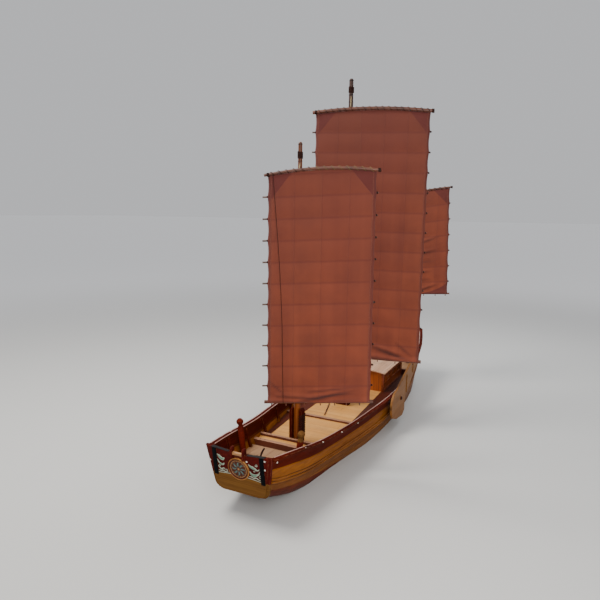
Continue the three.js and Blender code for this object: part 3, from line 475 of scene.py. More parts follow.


# the beads' pale colour is a painted highlight along the rail's edges
pale_bead = plain_wood("pale_bead", (222, 190, 178), (150, 104, 92), depth=0.001, Coat_Weight=0.2,
                       Coat_Roughness=0.3)
BEAD_FROM, BEAD_TO, BEAD_STEPS, BEAD_RADIUS = -5.62, 5.62, 66, 0.011
BEAD_OUT, BELOW_TOP = 0.014, 0.018
for side_name, side in SIDES.items():
    skin = skin_of(f"bulwark_{side_name}_aft", f"bulwark_{side_name}_fore")
    inner_run, outer_run = [], []
    for step in range(BEAD_STEPS + 1):
        along = BEAD_FROM + (BEAD_TO - BEAD_FROM) * step / BEAD_STEPS
        tops = [hit(skin, (along, side * (0.45 + 0.02 * cast), 3), (0, 0, -1)) for cast in range(60)]
        top = max((spot.z for spot in tops if spot), default=None)
        if top is None:
            continue
        outer = hit(skin, (along, side * 3, top - BELOW_TOP), (0, -side, 0))
        inner = hit(skin, (along, 0, top - BELOW_TOP), (0, side, 0))
        outer_run.append((along, outer.y - side * BEAD_OUT, top))
        inner_run.append((along, inner.y + side * BEAD_OUT, top))
    drawn(f"inner_rail_bead_{side_name}", [inner_run], BEAD_RADIUS, "root", pale_bead, "deck_wood")
    # the starboard outer bead is pale as a painted highlight; the port one is maroon
    drawn(f"outer_rail_bead_{side_name}", [outer_run], BEAD_RADIUS, "root",
          *((maroon_paint, "maroon_paint") if side > 0 else (pale_bead, "deck_wood")))


def mottled(name, light, dark, scale, detail, depth=0.001, rough=0.5, **shader_values):
    """A finish in two clouded tones, a little raised where it is pale."""
    material, shader, place = new_finish(name, **shader_values)[:3]
    cloudy = clouds(place, scale, detail, rough)
    feed(shader.inputs["Base Color"], mix(cloudy, dark, light))
    bump(shader, cloudy, depth)
    return material


cap_paint = mottled("cap_paint", (236, 230, 220), (196, 184, 168), 30.0, 4, Coat_Weight=0.3,
                    Coat_Roughness=0.25)
CAP_SIZE = 0.021, 0.012
# columns and rows of the picture where the caps show
CAPS_SEEN = (277.3, 462.5), (306, 448), (323, 442), (342, 432), (358, 423)
MIRRORED = Vector((1, -1, 1))
skin = skin_of("bulwark_port_aft", "bulwark_port_fore")
bm = bmesh.new()
for column, row in CAPS_SEEN:
    spot, normal = seen_at(skin, column, row)
    if spot:
        dome(bm, spot, normal, *CAP_SIZE)
        dome(bm, spot * MIRRORED, normal * MIRRORED, *CAP_SIZE)
finished(bm, "bolt_caps", "root", cap_paint)


# Bow transom. A board a little narrower than the planks' ends, bare below and painted red
# above a curved border, with a dark post either side. Wave and cloud scrolls of the usual
# kind are carved in low relief and painted pale green and white.
FACE_X, RAKE, RAKE_HEIGHT = 5.7766, 0.16, 1.2
POST_Y, POST_WIDE = 0.555, 0.09
CROSSWISE = (0, 0, pi / 2)
BORDER_TOP, BORDER_SAG = 1.213, 0.14
bow_paint, shader, colour, place, x, y, z = painted_wood(
    "bow_paint", (98, 34, 28), (54, 20, 20), (190, 130, 96), 0.35)
board_line = caulk(plus(z, 0.01), 0.21, 0.005)["Line"]
bare = planed(place, (118, 84, 50), (78, 52, 31), 1.1, CROSSWISE)["Color"]
bare = mix(times(board_line, 0.7), bare, (60, 30, 18))
is_bare = less(z, plus(times(times(y, y), -BORDER_SAG), BORDER_TOP))
before_face = minus(x, plus(times(z, RAKE), FACE_X - RAKE * RAKE_HEIGHT))
off_post = size_of(minus(size_of(y), POST_Y))
is_post = times(less(off_post, POST_WIDE / 2 + 0.004), more(before_face, 0.002))
feed(shader.inputs["Base Color"], mix(is_post, mix(is_bare, colour, bare), (13, 15, 17)))
softened("bow_transom", "bow_board", "root", bow_paint, 0.005)


def enamel(name, light, dark):
    """Thick glossy colour over carving, clouded in two tones."""
    return mottled(name, light, dark, 14.0, 5, rough=0.7, Coat_Weight=0.25, Coat_Roughness=0.25,
                   Roughness=0.45)


def on_board(across, height, proud=0.0):
    """A point on the painted face of the bow board."""
    lean = hypot(1, RAKE)
    return Vector((FACE_X + RAKE * (height - RAKE_HEIGHT) + proud / lean, across,
                   height - proud * RAKE / lean))


def strokes(name, runs, material, flatness=0.28, proud=0.0):
    """Carved strokes on the board: each run is a row of (across, height, half width) points."""
    curve = round_curve(name, 1, 3, 5)
    for points in runs:
        spline = add_run(curve, [(across, height, 0) for across, height, half in points])
        for knot, (across, height, half) in zip(spline.bezier_points, points):
            knot.radius = half
    draft = bpy.data.objects.new(name, curve)
    mesh = bpy.data.meshes.new_from_object(draft)
    bpy.data.objects.remove(draft)
    mesh.name = name
    for vert in mesh.vertices:
        vert.co = on_board(vert.co.x, vert.co.y, vert.co.z * flatness + proud)
    for face in mesh.polygons:
        face.use_smooth = True
    mesh.materials.clear()
    mesh.materials.append(material)
    put(name, mesh, "root")


def spiral(across, height, outer, turns, start, half, way=1, points=14):
    """A curl that winds in to its middle."""
    run = []
    for share in (step / (points - 1) for step in range(points)):
        reach, angle = outer * (1 - 0.85 * share), start + way * turns * tau * share
        run.append((across + reach * cos(angle), height + reach * sin(angle), half * (1 - 0.55 * share)))
    return run


scroll_green = enamel("scroll_green", (110, 150, 124), (58, 98, 82))
scroll_white = enamel("scroll_white", (182, 190, 170), (122, 132, 116))
BORDER_HALF, BORDER_STEPS = 0.512, 20
border_places = [BORDER_HALF * (2 * step / BORDER_STEPS - 1) for step in range(BORDER_STEPS + 1)]
strokes("border_bead", [[(a, BORDER_TOP - BORDER_SAG * a ** 2, 0.009) for a in border_places]], scroll_white)
strokes("pale_scrolls", [
    [(-0.505, 1.600, 0.008), (-0.470, 1.572, 0.030), (-0.425, 1.530, 0.041), (-0.372, 1.512, 0.036),
     (-0.335, 1.545, 0.012)],
    [(-0.508, 1.478, 0.006), (-0.478, 1.420, 0.018), (-0.430, 1.385, 0.024), (-0.378, 1.385, 0.022),
     (-0.342, 1.425, 0.006)],
    [(-0.505, 1.335, 0.005), (-0.470, 1.285, 0.013), (-0.415, 1.272, 0.015), (-0.365, 1.300, 0.011),
     (-0.335, 1.262, 0.006)],
    [(-0.500, 1.232, 0.005), (-0.450, 1.222, 0.012), (-0.395, 1.240, 0.013), (-0.330, 1.222, 0.012),
     (-0.270, 1.236, 0.005)],
    spiral(-0.468, 1.322, 0.030, 1.1, 0.4, 0.009), spiral(-0.300, 1.262, 0.024, 1.0, 2.4, 0.008, -1),
    [(0.232, 1.530, 0.006), (0.270, 1.492, 0.026), (0.325, 1.470, 0.035), (0.385, 1.448, 0.026),
     (0.440, 1.432, 0.014), (0.488, 1.470, 0.005)],
    [(0.252, 1.372, 0.006), (0.285, 1.322, 0.028), (0.345, 1.298, 0.036), (0.410, 1.318, 0.026),
     (0.462, 1.360, 0.015), (0.488, 1.420, 0.005)],
    [(0.225, 1.245, 0.005), (0.280, 1.252, 0.014), (0.335, 1.235, 0.013), (0.395, 1.250, 0.014),
     (0.440, 1.228, 0.012), (0.500, 1.215, 0.005)],
    spiral(0.420, 1.545, 0.032, 1.1, 3.4, 0.010), spiral(0.478, 1.290, 0.034, 1.1, 1.6, 0.010, -1),
    spiral(0.360, 1.385, 0.022, 1.0, 0.2, 0.007)], scroll_white)
strokes("green_scrolls", [
    [(-0.480, 1.578, 0.006), (-0.425, 1.533, 0.026), (-0.372, 1.516, 0.022), (-0.350, 1.535, 0.006)],
    [(-0.470, 1.412, 0.004), (-0.428, 1.386, 0.012), (-0.380, 1.388, 0.010)],
    [(0.250, 1.505, 0.005), (0.290, 1.480, 0.018), (0.335, 1.466, 0.021), (0.390, 1.446, 0.012)],
    [(0.266, 1.345, 0.005), (0.300, 1.312, 0.018), (0.350, 1.300, 0.023), (0.410, 1.320, 0.012)]],
    scroll_green, proud=0.007)

# a dark strip on the board's top edge, either side of the roller, in the iron finish: it is painted shadow
# for the gap along that edge
iron, shader, place = new_finish("iron", Metallic=0.6)[:3]
scale_noise = clouds(place, 40.0, 6, 0.7)
feed(shader.inputs["Base Color"], mix(ramp(scale_noise, 0.5, 0.7), (20, 19, 21), (64, 40, 30)))
feed(shader.inputs["Roughness"], ramp(scale_noise, 0.0, 1.0, 0.35, 0.7))
bump(shader, scale_noise, 0.001)
STRIP_FROM, STRIP_LONG, STRIP_STEPS, STRIP_THICK = 0.22, 0.40, 8, 0.010
board_skin = skin_of("bow_transom")
bm = bmesh.new()
for side in (1, -1):
    row = []
    for step in range(STRIP_STEPS + 1):
        across = side * (STRIP_FROM + STRIP_LONG * step / STRIP_STEPS)
        tops = [hit(board_skin, (FACE_X + 0.02 + 0.004 * cast, across, 3), (0, 0, -1)) for cast in range(20)]
        tops = [spot for spot in tops if spot and spot.z > 1.5]
        if tops:
            row.append((across, max(spot.z for spot in tops), [spot.x for spot in tops]))
    for (y0, z0, spread), (y1, z1, *_) in zip(row, row[1:]):
        back, front = min(spread), max(spread)
        middle = Vector(((back + front) / 2, (y0 + y1) / 2, (z0 + z1) / 2 + 0.002))
        size = Matrix.Diagonal((front - back + 0.010, abs(y1 - y0) * 1.06, STRIP_THICK, 1))
        bmesh.ops.create_cube(bm, size=1, matrix=Matrix.Translation(middle)
                              @ Matrix.Rotation(atan2(z1 - z0, y1 - y0), 4, "X") @ size)
finished(bm, "board_top_shadow_strips", "root", iron)

BOW_CAPS_SEEN, LOW_CAPS_SEEN = [(264.5, 461.8), (246.5, 461.9), (210.5, 459.5)], [(264.8, 470.4)]
low_skin = skin_of("bow_transom", "side_planking_port")
bow_skin = skin_of("bow_transom", "side_planking_port", "bulwark_port_fore", "bulwark_starboard_fore")
bm = bmesh.new()
for skin, spots_seen in ((bow_skin, BOW_CAPS_SEEN), (low_skin, LOW_CAPS_SEEN)):
    for column, row in spots_seen:
        spot, normal = seen_at(skin, column, row)
        if spot:
            dome(bm, spot, normal, *CAP_SIZE)
finished(bm, "bow_bolt_caps", "root", cap_paint)


# Bow medallion. A turned double ring, gilded, round a disc painted red-brown with a plain
# rosette of eight leaves and a ring of studs.
MEDALLION_HEIGHT, BAND_INNER, RIM_INNER = 1.37, 0.2175, 0.230
gold_paint, shader, colour, place, x, y, z = painted_wood(
    "gold_paint", (184, 134, 84), (126, 84, 50), (214, 180, 136), 0.3, coat=0.15)
up_way = times(minus(z, MEDALLION_HEIGHT), hypot(1, RAKE))
reach = maths("SQRT", plus(times(y, y), times(up_way, up_way)))
disc_colour = mix(clouds(place, 18.0, 5), (40, 30, 28), (92, 52, 38))
colour = mix(less(reach, RIM_INNER), colour, (88, 40, 28))
feed(shader.inputs["Base Color"], mix(less(reach, BAND_INNER), colour, disc_colour))
softened("bow_medallion", "bow_ring", "root", gold_paint, 0.003)
disc_hit = hit(skin_of("bow_medallion"), (7, 0, MEDALLION_HEIGHT), (-1, 0, 0))
DISC_PROUD = (disc_hit.x - on_board(0, MEDALLION_HEIGHT).x) / hypot(1, RAKE)


def on_disc(reach, turns):
    """Across and height of a point of the disc, by its way from the middle and round it."""
    return reach * cos(tau * turns), MEDALLION_HEIGHT + reach * sin(tau * turns) / hypot(1, RAKE)


LEAF = ((0.045, 0.0, 0.004), (0.085, 0.12, 0.021), (0.125, 0.06, 0.015), (0.155, -0.1, 0.004))
motif_teal = enamel("motif_teal", (84, 112, 104), (34, 54, 56))
leaf_gold = enamel("leaf_gold", (158, 112, 64), (104, 66, 38))
leaves = [[(*on_disc(far, n / 8 + bent / tau), half) for far, bent, half in LEAF] for n in range(8)]
strokes("medallion_leaves", leaves, motif_teal, proud=DISC_PROUD)
inner_ring = [(*on_disc(0.186, n / 48), 0.0085) for n in range(49)]
strokes("medallion_inner_ring", [inner_ring], leaf_gold, 0.8, DISC_PROUD)
bm = bmesh.new()
for number in range(16):
    dome(bm, on_board(*on_disc(0.165, (number + 0.5) / 16), DISC_PROUD), (1, 0, -RAKE), 0.008, 0.006, 8)
dome(bm, on_board(0, MEDALLION_HEIGHT, DISC_PROUD), (1, 0, -RAKE), 0.026, 0.016, 16)
finished(bm, "medallion_studs", "root", leaf_gold)


# Stern transom. The same broad planks across the stern, with the two jaws that hold the
# rudder stock left in bare oiled wood.
softened("stern_transom", "stern_board", "root", side_wood, 0.005)


# Decks. Pale scrubbed boards with dark caulking, laid fore and aft at the ends and across in
# the waist, greyer where they are trodden, and a loose hatch board before the fore mast.
def boarded(name, light, dark, seam_tone, wide, gap, crosswise=False, pale_limit=None):
    """Boards side by side; pale_limit is (x, half width) at both ends of the pale part, and the deck is
    darker beyond it.
    """
    material, shader, place, x, y, z = new_finish(name, Specular_IOR_Level=0.2)
    across, lengthwise = (x, y) if crosswise else (y, x)
    line, shade = caulk(across, wide, gap)
    shift = add_node(place, "CombineXYZ", {"X": times(shade, 7.0)}).outputs["Vector"]
    moved = add_node(place, "VectorMath", {0: mapped(place, CROSSWISE) if crosswise else place, 1: shift},
                     operation="ADD").outputs["Vector"]
    colour, height, dull = planed(moved, light, dark, 1.3)
    butt_line = caulk(plus(times(whole(over(across, wide)), 1.13), lengthwise), 2.4, gap)["Line"]
    joint = larger(line, butt_line)
    colour = mix(times(shade, 0.4), colour, dark)
    colour = mix(ramp(clouds(place, 1.6, 6, 0.65), 0.5, 0.75, 0.0, 0.35), colour, (120, 96, 78))
    colour = mix(times(joint, 0.8), colour, seam_tone)
    # the deck is darker beyond the pale part, out to the bulwarks
    if pale_limit:
        (aft_x, aft_half), (fore_x, fore_half) = pale_limit
        past_pale_limit = more(size_of(y), ramp(x, aft_x, fore_x, aft_half, fore_half))
        colour = mix(past_pale_limit, colour, planed(place, (94, 38, 20), (52, 20, 11), 1.3)["Color"])
    finish_wood(shader, colour, dull, minus(times(height, 0.3), joint), 0.004)
    return material


SCRUBBED = (232, 180, 120), (200, 144, 88), (112, 70, 42), 0.215, 0.005, True
deck_wood = boarded("deck_wood", (176, 142, 114), (144, 110, 84), (80, 52, 38), 0.205, 0.006)
hatch_wood = boarded("hatch_wood", *SCRUBBED)
waist_wood = boarded("waist_wood", *SCRUBBED, ((1.5, 0.88), (3.2, 0.80)))
broad_wood = boarded("broad_wood", *SCRUBBED, ((-1.5, 0.66), (1.45, 0.73)))
for node_name, boards in (("fore_deck", deck_wood), ("aft_deck", deck_wood), ("hatch_board", hatch_wood),
                          ("mast_deck", waist_wood), ("main_deck", broad_wood)):
    softened(node_name, f"{node_name}_boards", "root", boards, 0.003)


# Deck beams. Squared timbers let in between the sides, their top edges rubbed pale, each held
# down by two iron-headed bolts a side. A tarred strap is nailed down along the fore deck.
beam_wood, shader, place = new_finish("beam_wood")[:3]
colour, height, dull = planed(place, (112, 58, 40), (62, 26, 22), 1.4, CROSSWISE)
# painted highlight: the upward faces are made paler, as light from above shows them
colour = mix(times(more(facing(place, "Z"), 0.8), 0.55), colour, (196, 150, 118))
finish_wood(shader, mix(rubbed(place, 0.8), colour, (214, 178, 148)), dull, height)
bm = bmesh.new()
for node_name in ("deck_beam_fore", "deck_beam_mast", "deck_beam_waist", "break_beam"):
    softened(node_name, f"{node_name}_timber", "root", beam_wood, 0.006)
    low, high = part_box(node_name)
    for side in (1, -1):
        for inset in (0.18, 0.30):
            dome(bm, ((low[0] + high[0]) / 2, side * (high[1] - inset), high[2]), (0, 0, 1), 0.014, 0.007, 10)
finished(bm, "beam_bolts", "root", iron)


def laid_rope(name, dark, light, hairy=0.0, **shader_values):
    """Twisted strands, with loose hairs over them for a share."""
    material, shader, place = new_finish(name, **shader_values)[:3]
    twist = add_node(place, "TexWave", {"Vector": place, "Scale": 38.0, "Distortion": 3.0, "Detail": 2},
                     wave_type="BANDS", bands_direction="DIAGONAL").outputs["Fac"]
    if hairy:
        twist = plus(times(twist, 1 - hairy), times(clouds(place, 60.0, 5), hairy))
    feed(shader.inputs["Base Color"], mix(twist, dark, light))
    bump(shader, twist, 0.003)
    return material


tarred_rope = laid_rope("tarred_rope", (26, 15, 13), (62, 34, 27), Roughness=0.8, Specular_IOR_Level=0.12)
fore_skin = skin_of("fore_deck")
STRAP_SEEN = (268.6, 445.2), (266.4, 446.6), (264.2, 448.8), (262.4, 451.6), (261.2, 454.6), (260.5, 457.4)
STRAP_RADIUS, STRAP_LIFT = 0.022, 0.004
strap = [seen_at(fore_skin, column, row)[0] for column, row in STRAP_SEEN]
strap = [spot + Vector((0, 0, STRAP_LIFT)) for spot in strap if spot]
drawn("fore_deck_strap", [strap], STRAP_RADIUS, "root", tarred_rope, "spar_wood")


# Bitts and cable roller. Posts for the cables with round heads, one bare and weathered at its
# head, and a tan roller with worn grooves between the two cheeks.
bitt_paint, shader, colour, place, x, y, z = painted_wood(
    "bitt_paint", (116, 42, 32), (66, 24, 20), (190, 130, 96), 0.5)
UPRIGHT = (0, pi / 2, 0)
bare_head = times(more(z, 1.62), more(y, 0.0))
weathered = planed(place, (122, 88, 54), (74, 48, 30), turn=UPRIGHT)["Color"]
feed(shader.inputs["Base Color"], mix(bare_head, colour, weathered))
for side_name in SIDES:
    softened(f"bitt_{side_name}", f"mooring_bitt_{side_name}", "root", bitt_paint, 0.004)
roller_wood = plain_wood("roller_wood", (172, 126, 82), (116, 76, 48), 1.5, turn=CROSSWISE)
softened("bow_roller", "cable_roller", "roller", roller_wood, 0.003)


# Masts. Each is one tapered pole of oiled fir, tarred towards its head, between maroon cheeks,
# with iron hoops and a lashing at the head. Rope tails are coiled round the port cheek.
spar_wood, shader, place, x, y, z = new_finish("spar_wood", Coat_Weight=0.1, Coat_Roughness=0.3,
                                               Specular_IOR_Level=0.3)
colour, height, dull = planed(place, (158, 88, 40), (80, 36, 20), 1.4, UPRIGHT)
knots = add_node(place, "TexVoronoi", {"Vector": place, "Scale": 2.3}, feature="F1").outputs["Distance"]
colour = mix(ramp(knots, 0.05, 0.16, 0.7, 0.0), colour, (62, 30, 18))
finish_wood(shader, mix(ramp(z, 6.8, 8.7, 0.0, 0.92), colour, (44, 30, 28)), dull, height)


def turns_round(centre, reach, height, turns, pitch, per_turn=12):
    """A rope wound round an upright pole."""
    return [(centre[0] + reach * cos(tau * n / per_turn), centre[1] + reach * sin(tau * n / per_turn),
             height + pitch * n / per_turn) for n in range(int(turns * per_turn) + 1)]


def ring_round(bm, centre, axis, radius, thick, around=20, section=8):
    """A closed hoop of round section."""
    old = set(bm.verts)
    beside = Matrix.Translation((radius, 0, 0)) @ Matrix.Rotation(pi / 2, 4, "X")
    made = bmesh.ops.create_circle(bm, cap_ends=False, segments=section, radius=thick, matrix=beside)
    loop = made["verts"] + list({edge for vert in made["verts"] for edge in vert.link_edges})
    bmesh.ops.spin(bm, geom=loop, cent=(0, 0, 0), axis=(0, 0, 1), angle=tau, steps=around, use_merge=True)
    turn = Vector(axis).to_track_quat("Z", "Y").to_matrix().to_4x4()
    hoop = [vert for vert in bm.verts if vert not in old]
    bmesh.ops.transform(bm, matrix=Matrix.Translation(centre) @ turn, verts=hoop)


MAST_PLACES = {}
for mast_name in ("fore", "main", "mizzen"):
    low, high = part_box(f"{mast_name}_mast")
    MAST_PLACES[mast_name] = ((low[0] + high[0]) / 2, (low[1] + high[1]) / 2, high[2])
mast_skins = {name: skin_of(f"{name}_mast") for name in MAST_PLACES}


def mast_radius(mast_name, height):
    mast_x, mast_y, mast_top = MAST_PLACES[mast_name]
    return hit(mast_skins[mast_name], (mast_x + 1, mast_y + 0.003, height + 0.0007), (-1, 0, 0)).x - mast_x


COIL_PITCH, COIL_RADIUS, COIL_OUT = 0.058, 0.015, 0.010
for mast_name, (mast_x, mast_y, mast_top) in MAST_PLACES.items():
    softened(f"{mast_name}_mast", f"{mast_name}_pole", "root", spar_wood, 0.0, angle=40)
    softened(f"{mast_name}_mast_step", f"{mast_name}_mast_cheeks", "root", maroon_paint, 0.006)
    bm = bmesh.new()
    for height in (mast_top - 0.05, mast_top - 0.42, mast_top - 0.60):
        hoop_radius = mast_radius(mast_name, height) + 0.001
        ring_round(bm, (mast_x, mast_y, height), (0, 0, 1), hoop_radius, 0.007, 24, 6)
    finished(bm, f"{mast_name}_mast_hoops", "root", iron)
    lashing_from = mast_top - 0.36
    lashing_reach = mast_radius(mast_name, lashing_from) + 0.008
    lashing = turns_round((mast_x, mast_y), lashing_reach, lashing_from, 9, 0.0165)
    drawn(f"{mast_name}_masthead_lashing", [lashing], 0.009, "root", tarred_rope, "spar_wood")
    low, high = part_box(f"{mast_name}_mast_step")
    cheek_skin = skin_of(f"{mast_name}_mast_step")
    coils = []
    coil_from = low[2] + 0.12 if mast_name != "fore" else 1.16
    for number in range(int((high[2] - 0.06 - coil_from) / COIL_PITCH)):
        height = coil_from + COIL_PITCH * number
        outer_y = hit(cheek_skin, (mast_x, mast_y + 1, height), (0, -1, 0)).y
        inner_y = hit(cheek_skin, (mast_x, mast_y, height), (0, 1, 0)).y
        middle_y, half_y = (outer_y + inner_y) / 2, (outer_y - inner_y) / 2 + COIL_OUT
        half_x = hit(cheek_skin, (mast_x + 1, middle_y, height), (-1, 0, 0)).x - mast_x + COIL_OUT
        slack = min(half_y, middle_y - mast_y - mast_radius(mast_name, height) + 0.004)
        coils.append([(mast_x + half_x * ahead, middle_y + beside, height + lift) for ahead, beside, lift in (
            (1, -slack * 0.6, 0), (1, half_y * 0.7, 0.004), (0.75, half_y, 0.008), (-0.75, half_y, 0.02),
            (-1, half_y * 0.7, 0.024), (-1, -slack * 0.6, 0.03))])
    drawn(f"{mast_name}_cheek_coils", coils, COIL_RADIUS, "root", tarred_rope, "spar_wood")


# Deckhouse. A low cabin of upright orange planks between corner posts, with a pale cambered
# roof of boards running fore and aft, barred windows and a ledged door in its front.
def timber_block(bm, corner, opposite, edge=0.006):
    """A squared piece between two corners, with its edges taken off."""
    low, high = (Vector([pick(pair) for pair in zip(corner, opposite)]) for pick in (min, max))
    made = bmesh.ops.create_cube(bm, size=1, matrix=Matrix.Translation((low + high) / 2)
                                 @ Matrix.Diagonal((*(high - low), 1)))
    edges = list({edge_of for vert in made["verts"] for edge_of in vert.link_edges})
    bmesh.ops.bevel(bm, geom=edges, offset=edge, offset_type="OFFSET", segments=2, profile=0.5,
                    affect="EDGES", material=-1)


wall_wood, shader, place, x, y, z = new_finish("wall_wood", Coat_Weight=0.15, Coat_Roughness=0.3)
finish_planks(shader, planed(place, (196, 106, 44), (112, 48, 22), turn=UPRIGHT),
              caulk(plus(x, y), 0.155, 0.006), (96, 44, 22), (40, 20, 12), (0.35, 0.8, 0.3), 0.004)
roof_wood = boarded("roof_wood", (232, 198, 172), (192, 150, 122), (112, 78, 62), 0.16, 0.005)
for node_name in ("cabin_front", "cabin_back", "cabin_side_port", "cabin_side_starboard"):
    softened(node_name, f"{node_name}_wall", "root", wall_wood, 0.003)
softened("cabin_roof", "cabin_roof_boards", "root", roof_wood, 0.005)
softened("cabin_door", "cabin_door_leaf", "door", wall_wood, 0.003)

CABIN_FRONT, CABIN_BACK, CABIN_HALF, CABIN_FOOT, CABIN_EAVES = -1.5, -3.56, 0.73, 0.90, 1.50
POST, POST_OUT, RAIL, RAIL_OUT = 0.07, 0.012, 0.045, 0.014
WINDOWS = (-2.24, -1.86), (-2.80, -2.42), (-3.36, -2.98)
WINDOW_LOW, WINDOW_HIGH, BACK_WINDOW_HIGH = 1.18, 1.38, 1.40
trim_wood = plain_wood("trim_wood", (150, 70, 34), (84, 34, 20), 1.3, edge=(0.6, (206, 150, 100)),
                       Coat_Weight=0.15, Coat_Roughness=0.3)
bm = bmesh.new()
for end_x, ahead in ((CABIN_FRONT, 1), (CABIN_BACK, -1)):
    for side in (1, -1):
        timber_block(bm, (end_x + ahead * POST_OUT, side * (CABIN_HALF + POST_OUT), CABIN_FOOT),
                     (end_x - ahead * POST, side * (CABIN_HALF - POST), CABIN_EAVES - 0.004))
for side in (1, -1):
    wall, proud, bars = side * CABIN_HALF, side * (CABIN_HALF + RAIL_OUT), side * (CABIN_HALF - 0.026)
    for low_z, high_z in ((CABIN_FOOT, CABIN_FOOT + 0.06), (WINDOW_LOW - RAIL, WINDOW_LOW),
                          (WINDOW_HIGH, WINDOW_HIGH + RAIL)):
        timber_block(bm, (CABIN_BACK + POST, wall, low_z), (CABIN_FRONT - POST, proud, high_z), 0.003)
    for back, front in WINDOWS:
        for edge_x in (back, front):
            timber_block(bm, (edge_x - 0.02, wall, WINDOW_LOW), (edge_x + 0.02, proud, WINDOW_HIGH), 0.003)
        for number in range(1, 6):
            bar_x = back + (front - back) * number / 6
            timber_block(bm, (bar_x - 0.008, bars - 0.006, WINDOW_LOW),
                         (bar_x + 0.008, bars + 0.006, WINDOW_HIGH), 0.002)
        middle = (WINDOW_LOW + WINDOW_HIGH) / 2
        timber_block(bm, (back, bars - 0.005, middle - 0.008), (front, bars + 0.005, middle + 0.008), 0.002)
for number in range(1, 8):
    bar_y = -0.24 + 0.48 * number / 8
    timber_block(bm, (CABIN_BACK + 0.014, bar_y - 0.008, WINDOW_LOW),
                 (CABIN_BACK + 0.026, bar_y + 0.008, BACK_WINDOW_HIGH), 0.002)
for edge_y in (-0.26, 0.26):
    timber_block(bm, (CABIN_BACK - RAIL_OUT, edge_y - 0.02, WINDOW_LOW - 0.02),
                 (CABIN_BACK, edge_y + 0.02, BACK_WINDOW_HIGH + 0.02), 0.003)
for low_z in (WINDOW_LOW - 0.04, BACK_WINDOW_HIGH):
    timber_block(bm, (CABIN_BACK - RAIL_OUT, -0.28, low_z), (CABIN_BACK, 0.28, low_z + 0.04), 0.003)
finished(bm, "cabin_posts_and_window_bars", "root", trim_wood)

# door ledges, and a ring to pull the door by
low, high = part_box("cabin_door")
bm = bmesh.new()
for share in (0.18, 0.78):
    ledge = low[2] + (high[2] - low[2]) * share
    timber_block(bm, (high[0], low[1] + 0.03, ledge - 0.03),
                 (high[0] + 0.016, high[1] - 0.03, ledge + 0.03), 0.004)
finished(bm, "door_ledges", "door", trim_wood)
bm = bmesh.new()
ring_round(bm, (high[0] + 0.016, low[1] + 0.07, (low[2] + high[2]) / 2), (1, 0, 0.25), 0.03, 0.005, 20, 6)
dome(bm, (high[0], low[1] + 0.07, (low[2] + high[2]) / 2 + 0.03), (1, 0, 0), 0.014, 0.012)
finished(bm, "door_ring", "door", iron)

# nail heads along the roof's edges
low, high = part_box("cabin_roof")
roof_skin = skin_of("cabin_roof")
spots = [(end_x, low[1] + 0.06 + (high[1] - low[1] - 0.12) * n / 9)
         for end_x in (high[0] - 0.05, low[0] + 0.05) for n in range(10)]
spots += [(low[0] + 0.10 + (high[0] - low[0] - 0.20) * n / 12, side * (high[1] - 0.05))
          for side in (1, -1) for n in range(13)]
bm = bmesh.new()
for spot in spots:
    nail, normal = roof_skin.ray_cast(Vector((*spot, 3)), Vector((0, 0, -1)))[:2]
    if nail:
        dome(bm, nail, normal, 0.010, 0.005, 8)
finished(bm, "roof_nails", "root", iron)


# Rudder, tiller and stern gallery. The rudder's boards are held by iron straps round the
# blade, and the tiller is wedged and lashed in the head of the stock.
softened("rudder", "rudder_blade", "steering", bottom_wood, 0.008)
softened("tiller", "tiller_bar", "steering", spar_wood, 0.004)
softened("stern_gallery", "stern_gallery_frame", "root", maroon_paint, 0.006)
STRAP_HALF, STRAP_THICK = 0.028, 0.008
low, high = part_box("rudder")
rudder_skin = skin_of("rudder")
bm = bmesh.new()
for height in (0.62, 1.02, 1.36):
    row = [hit(rudder_skin, (high[0] - 0.10 - 0.045 * step, 1, height), (0, -1, 0)) for step in range(24)]
    row = [spot for spot in row if spot and spot.y < 0.06]
    if len(row) > 1:
        for side in (1, -1):
            face, proud = row[0].y * side, row[0].y * side + side * STRAP_THICK
            timber_block(bm, (row[-1].x, face, height - STRAP_HALF),
                         (row[0].x, proud, height + STRAP_HALF), 0.002)
            for spot in row[1::4]:
                dome(bm, (spot.x, proud, height), (0, side, 0), 0.014, 0.008, 10)
finished(bm, "rudder_straps", "steering", iron)
rope_fibre = laid_rope("rope_fibre", (112, 96, 70), (196, 180, 144), 0.4, Roughness=0.9)
low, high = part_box("tiller")
GRIP_RADIUS = 0.030
grip = [(high[0] - 0.10 - 0.016 * n / 10, (low[1] + high[1]) / 2 + GRIP_RADIUS * cos(tau * n / 10),
         low[2] + GRIP_RADIUS + GRIP_RADIUS * sin(tau * n / 10)) for n in range(60)]
drawn("tiller_grip_lashing", [grip], 0.008, "steering", rope_fibre, "spar_wood")


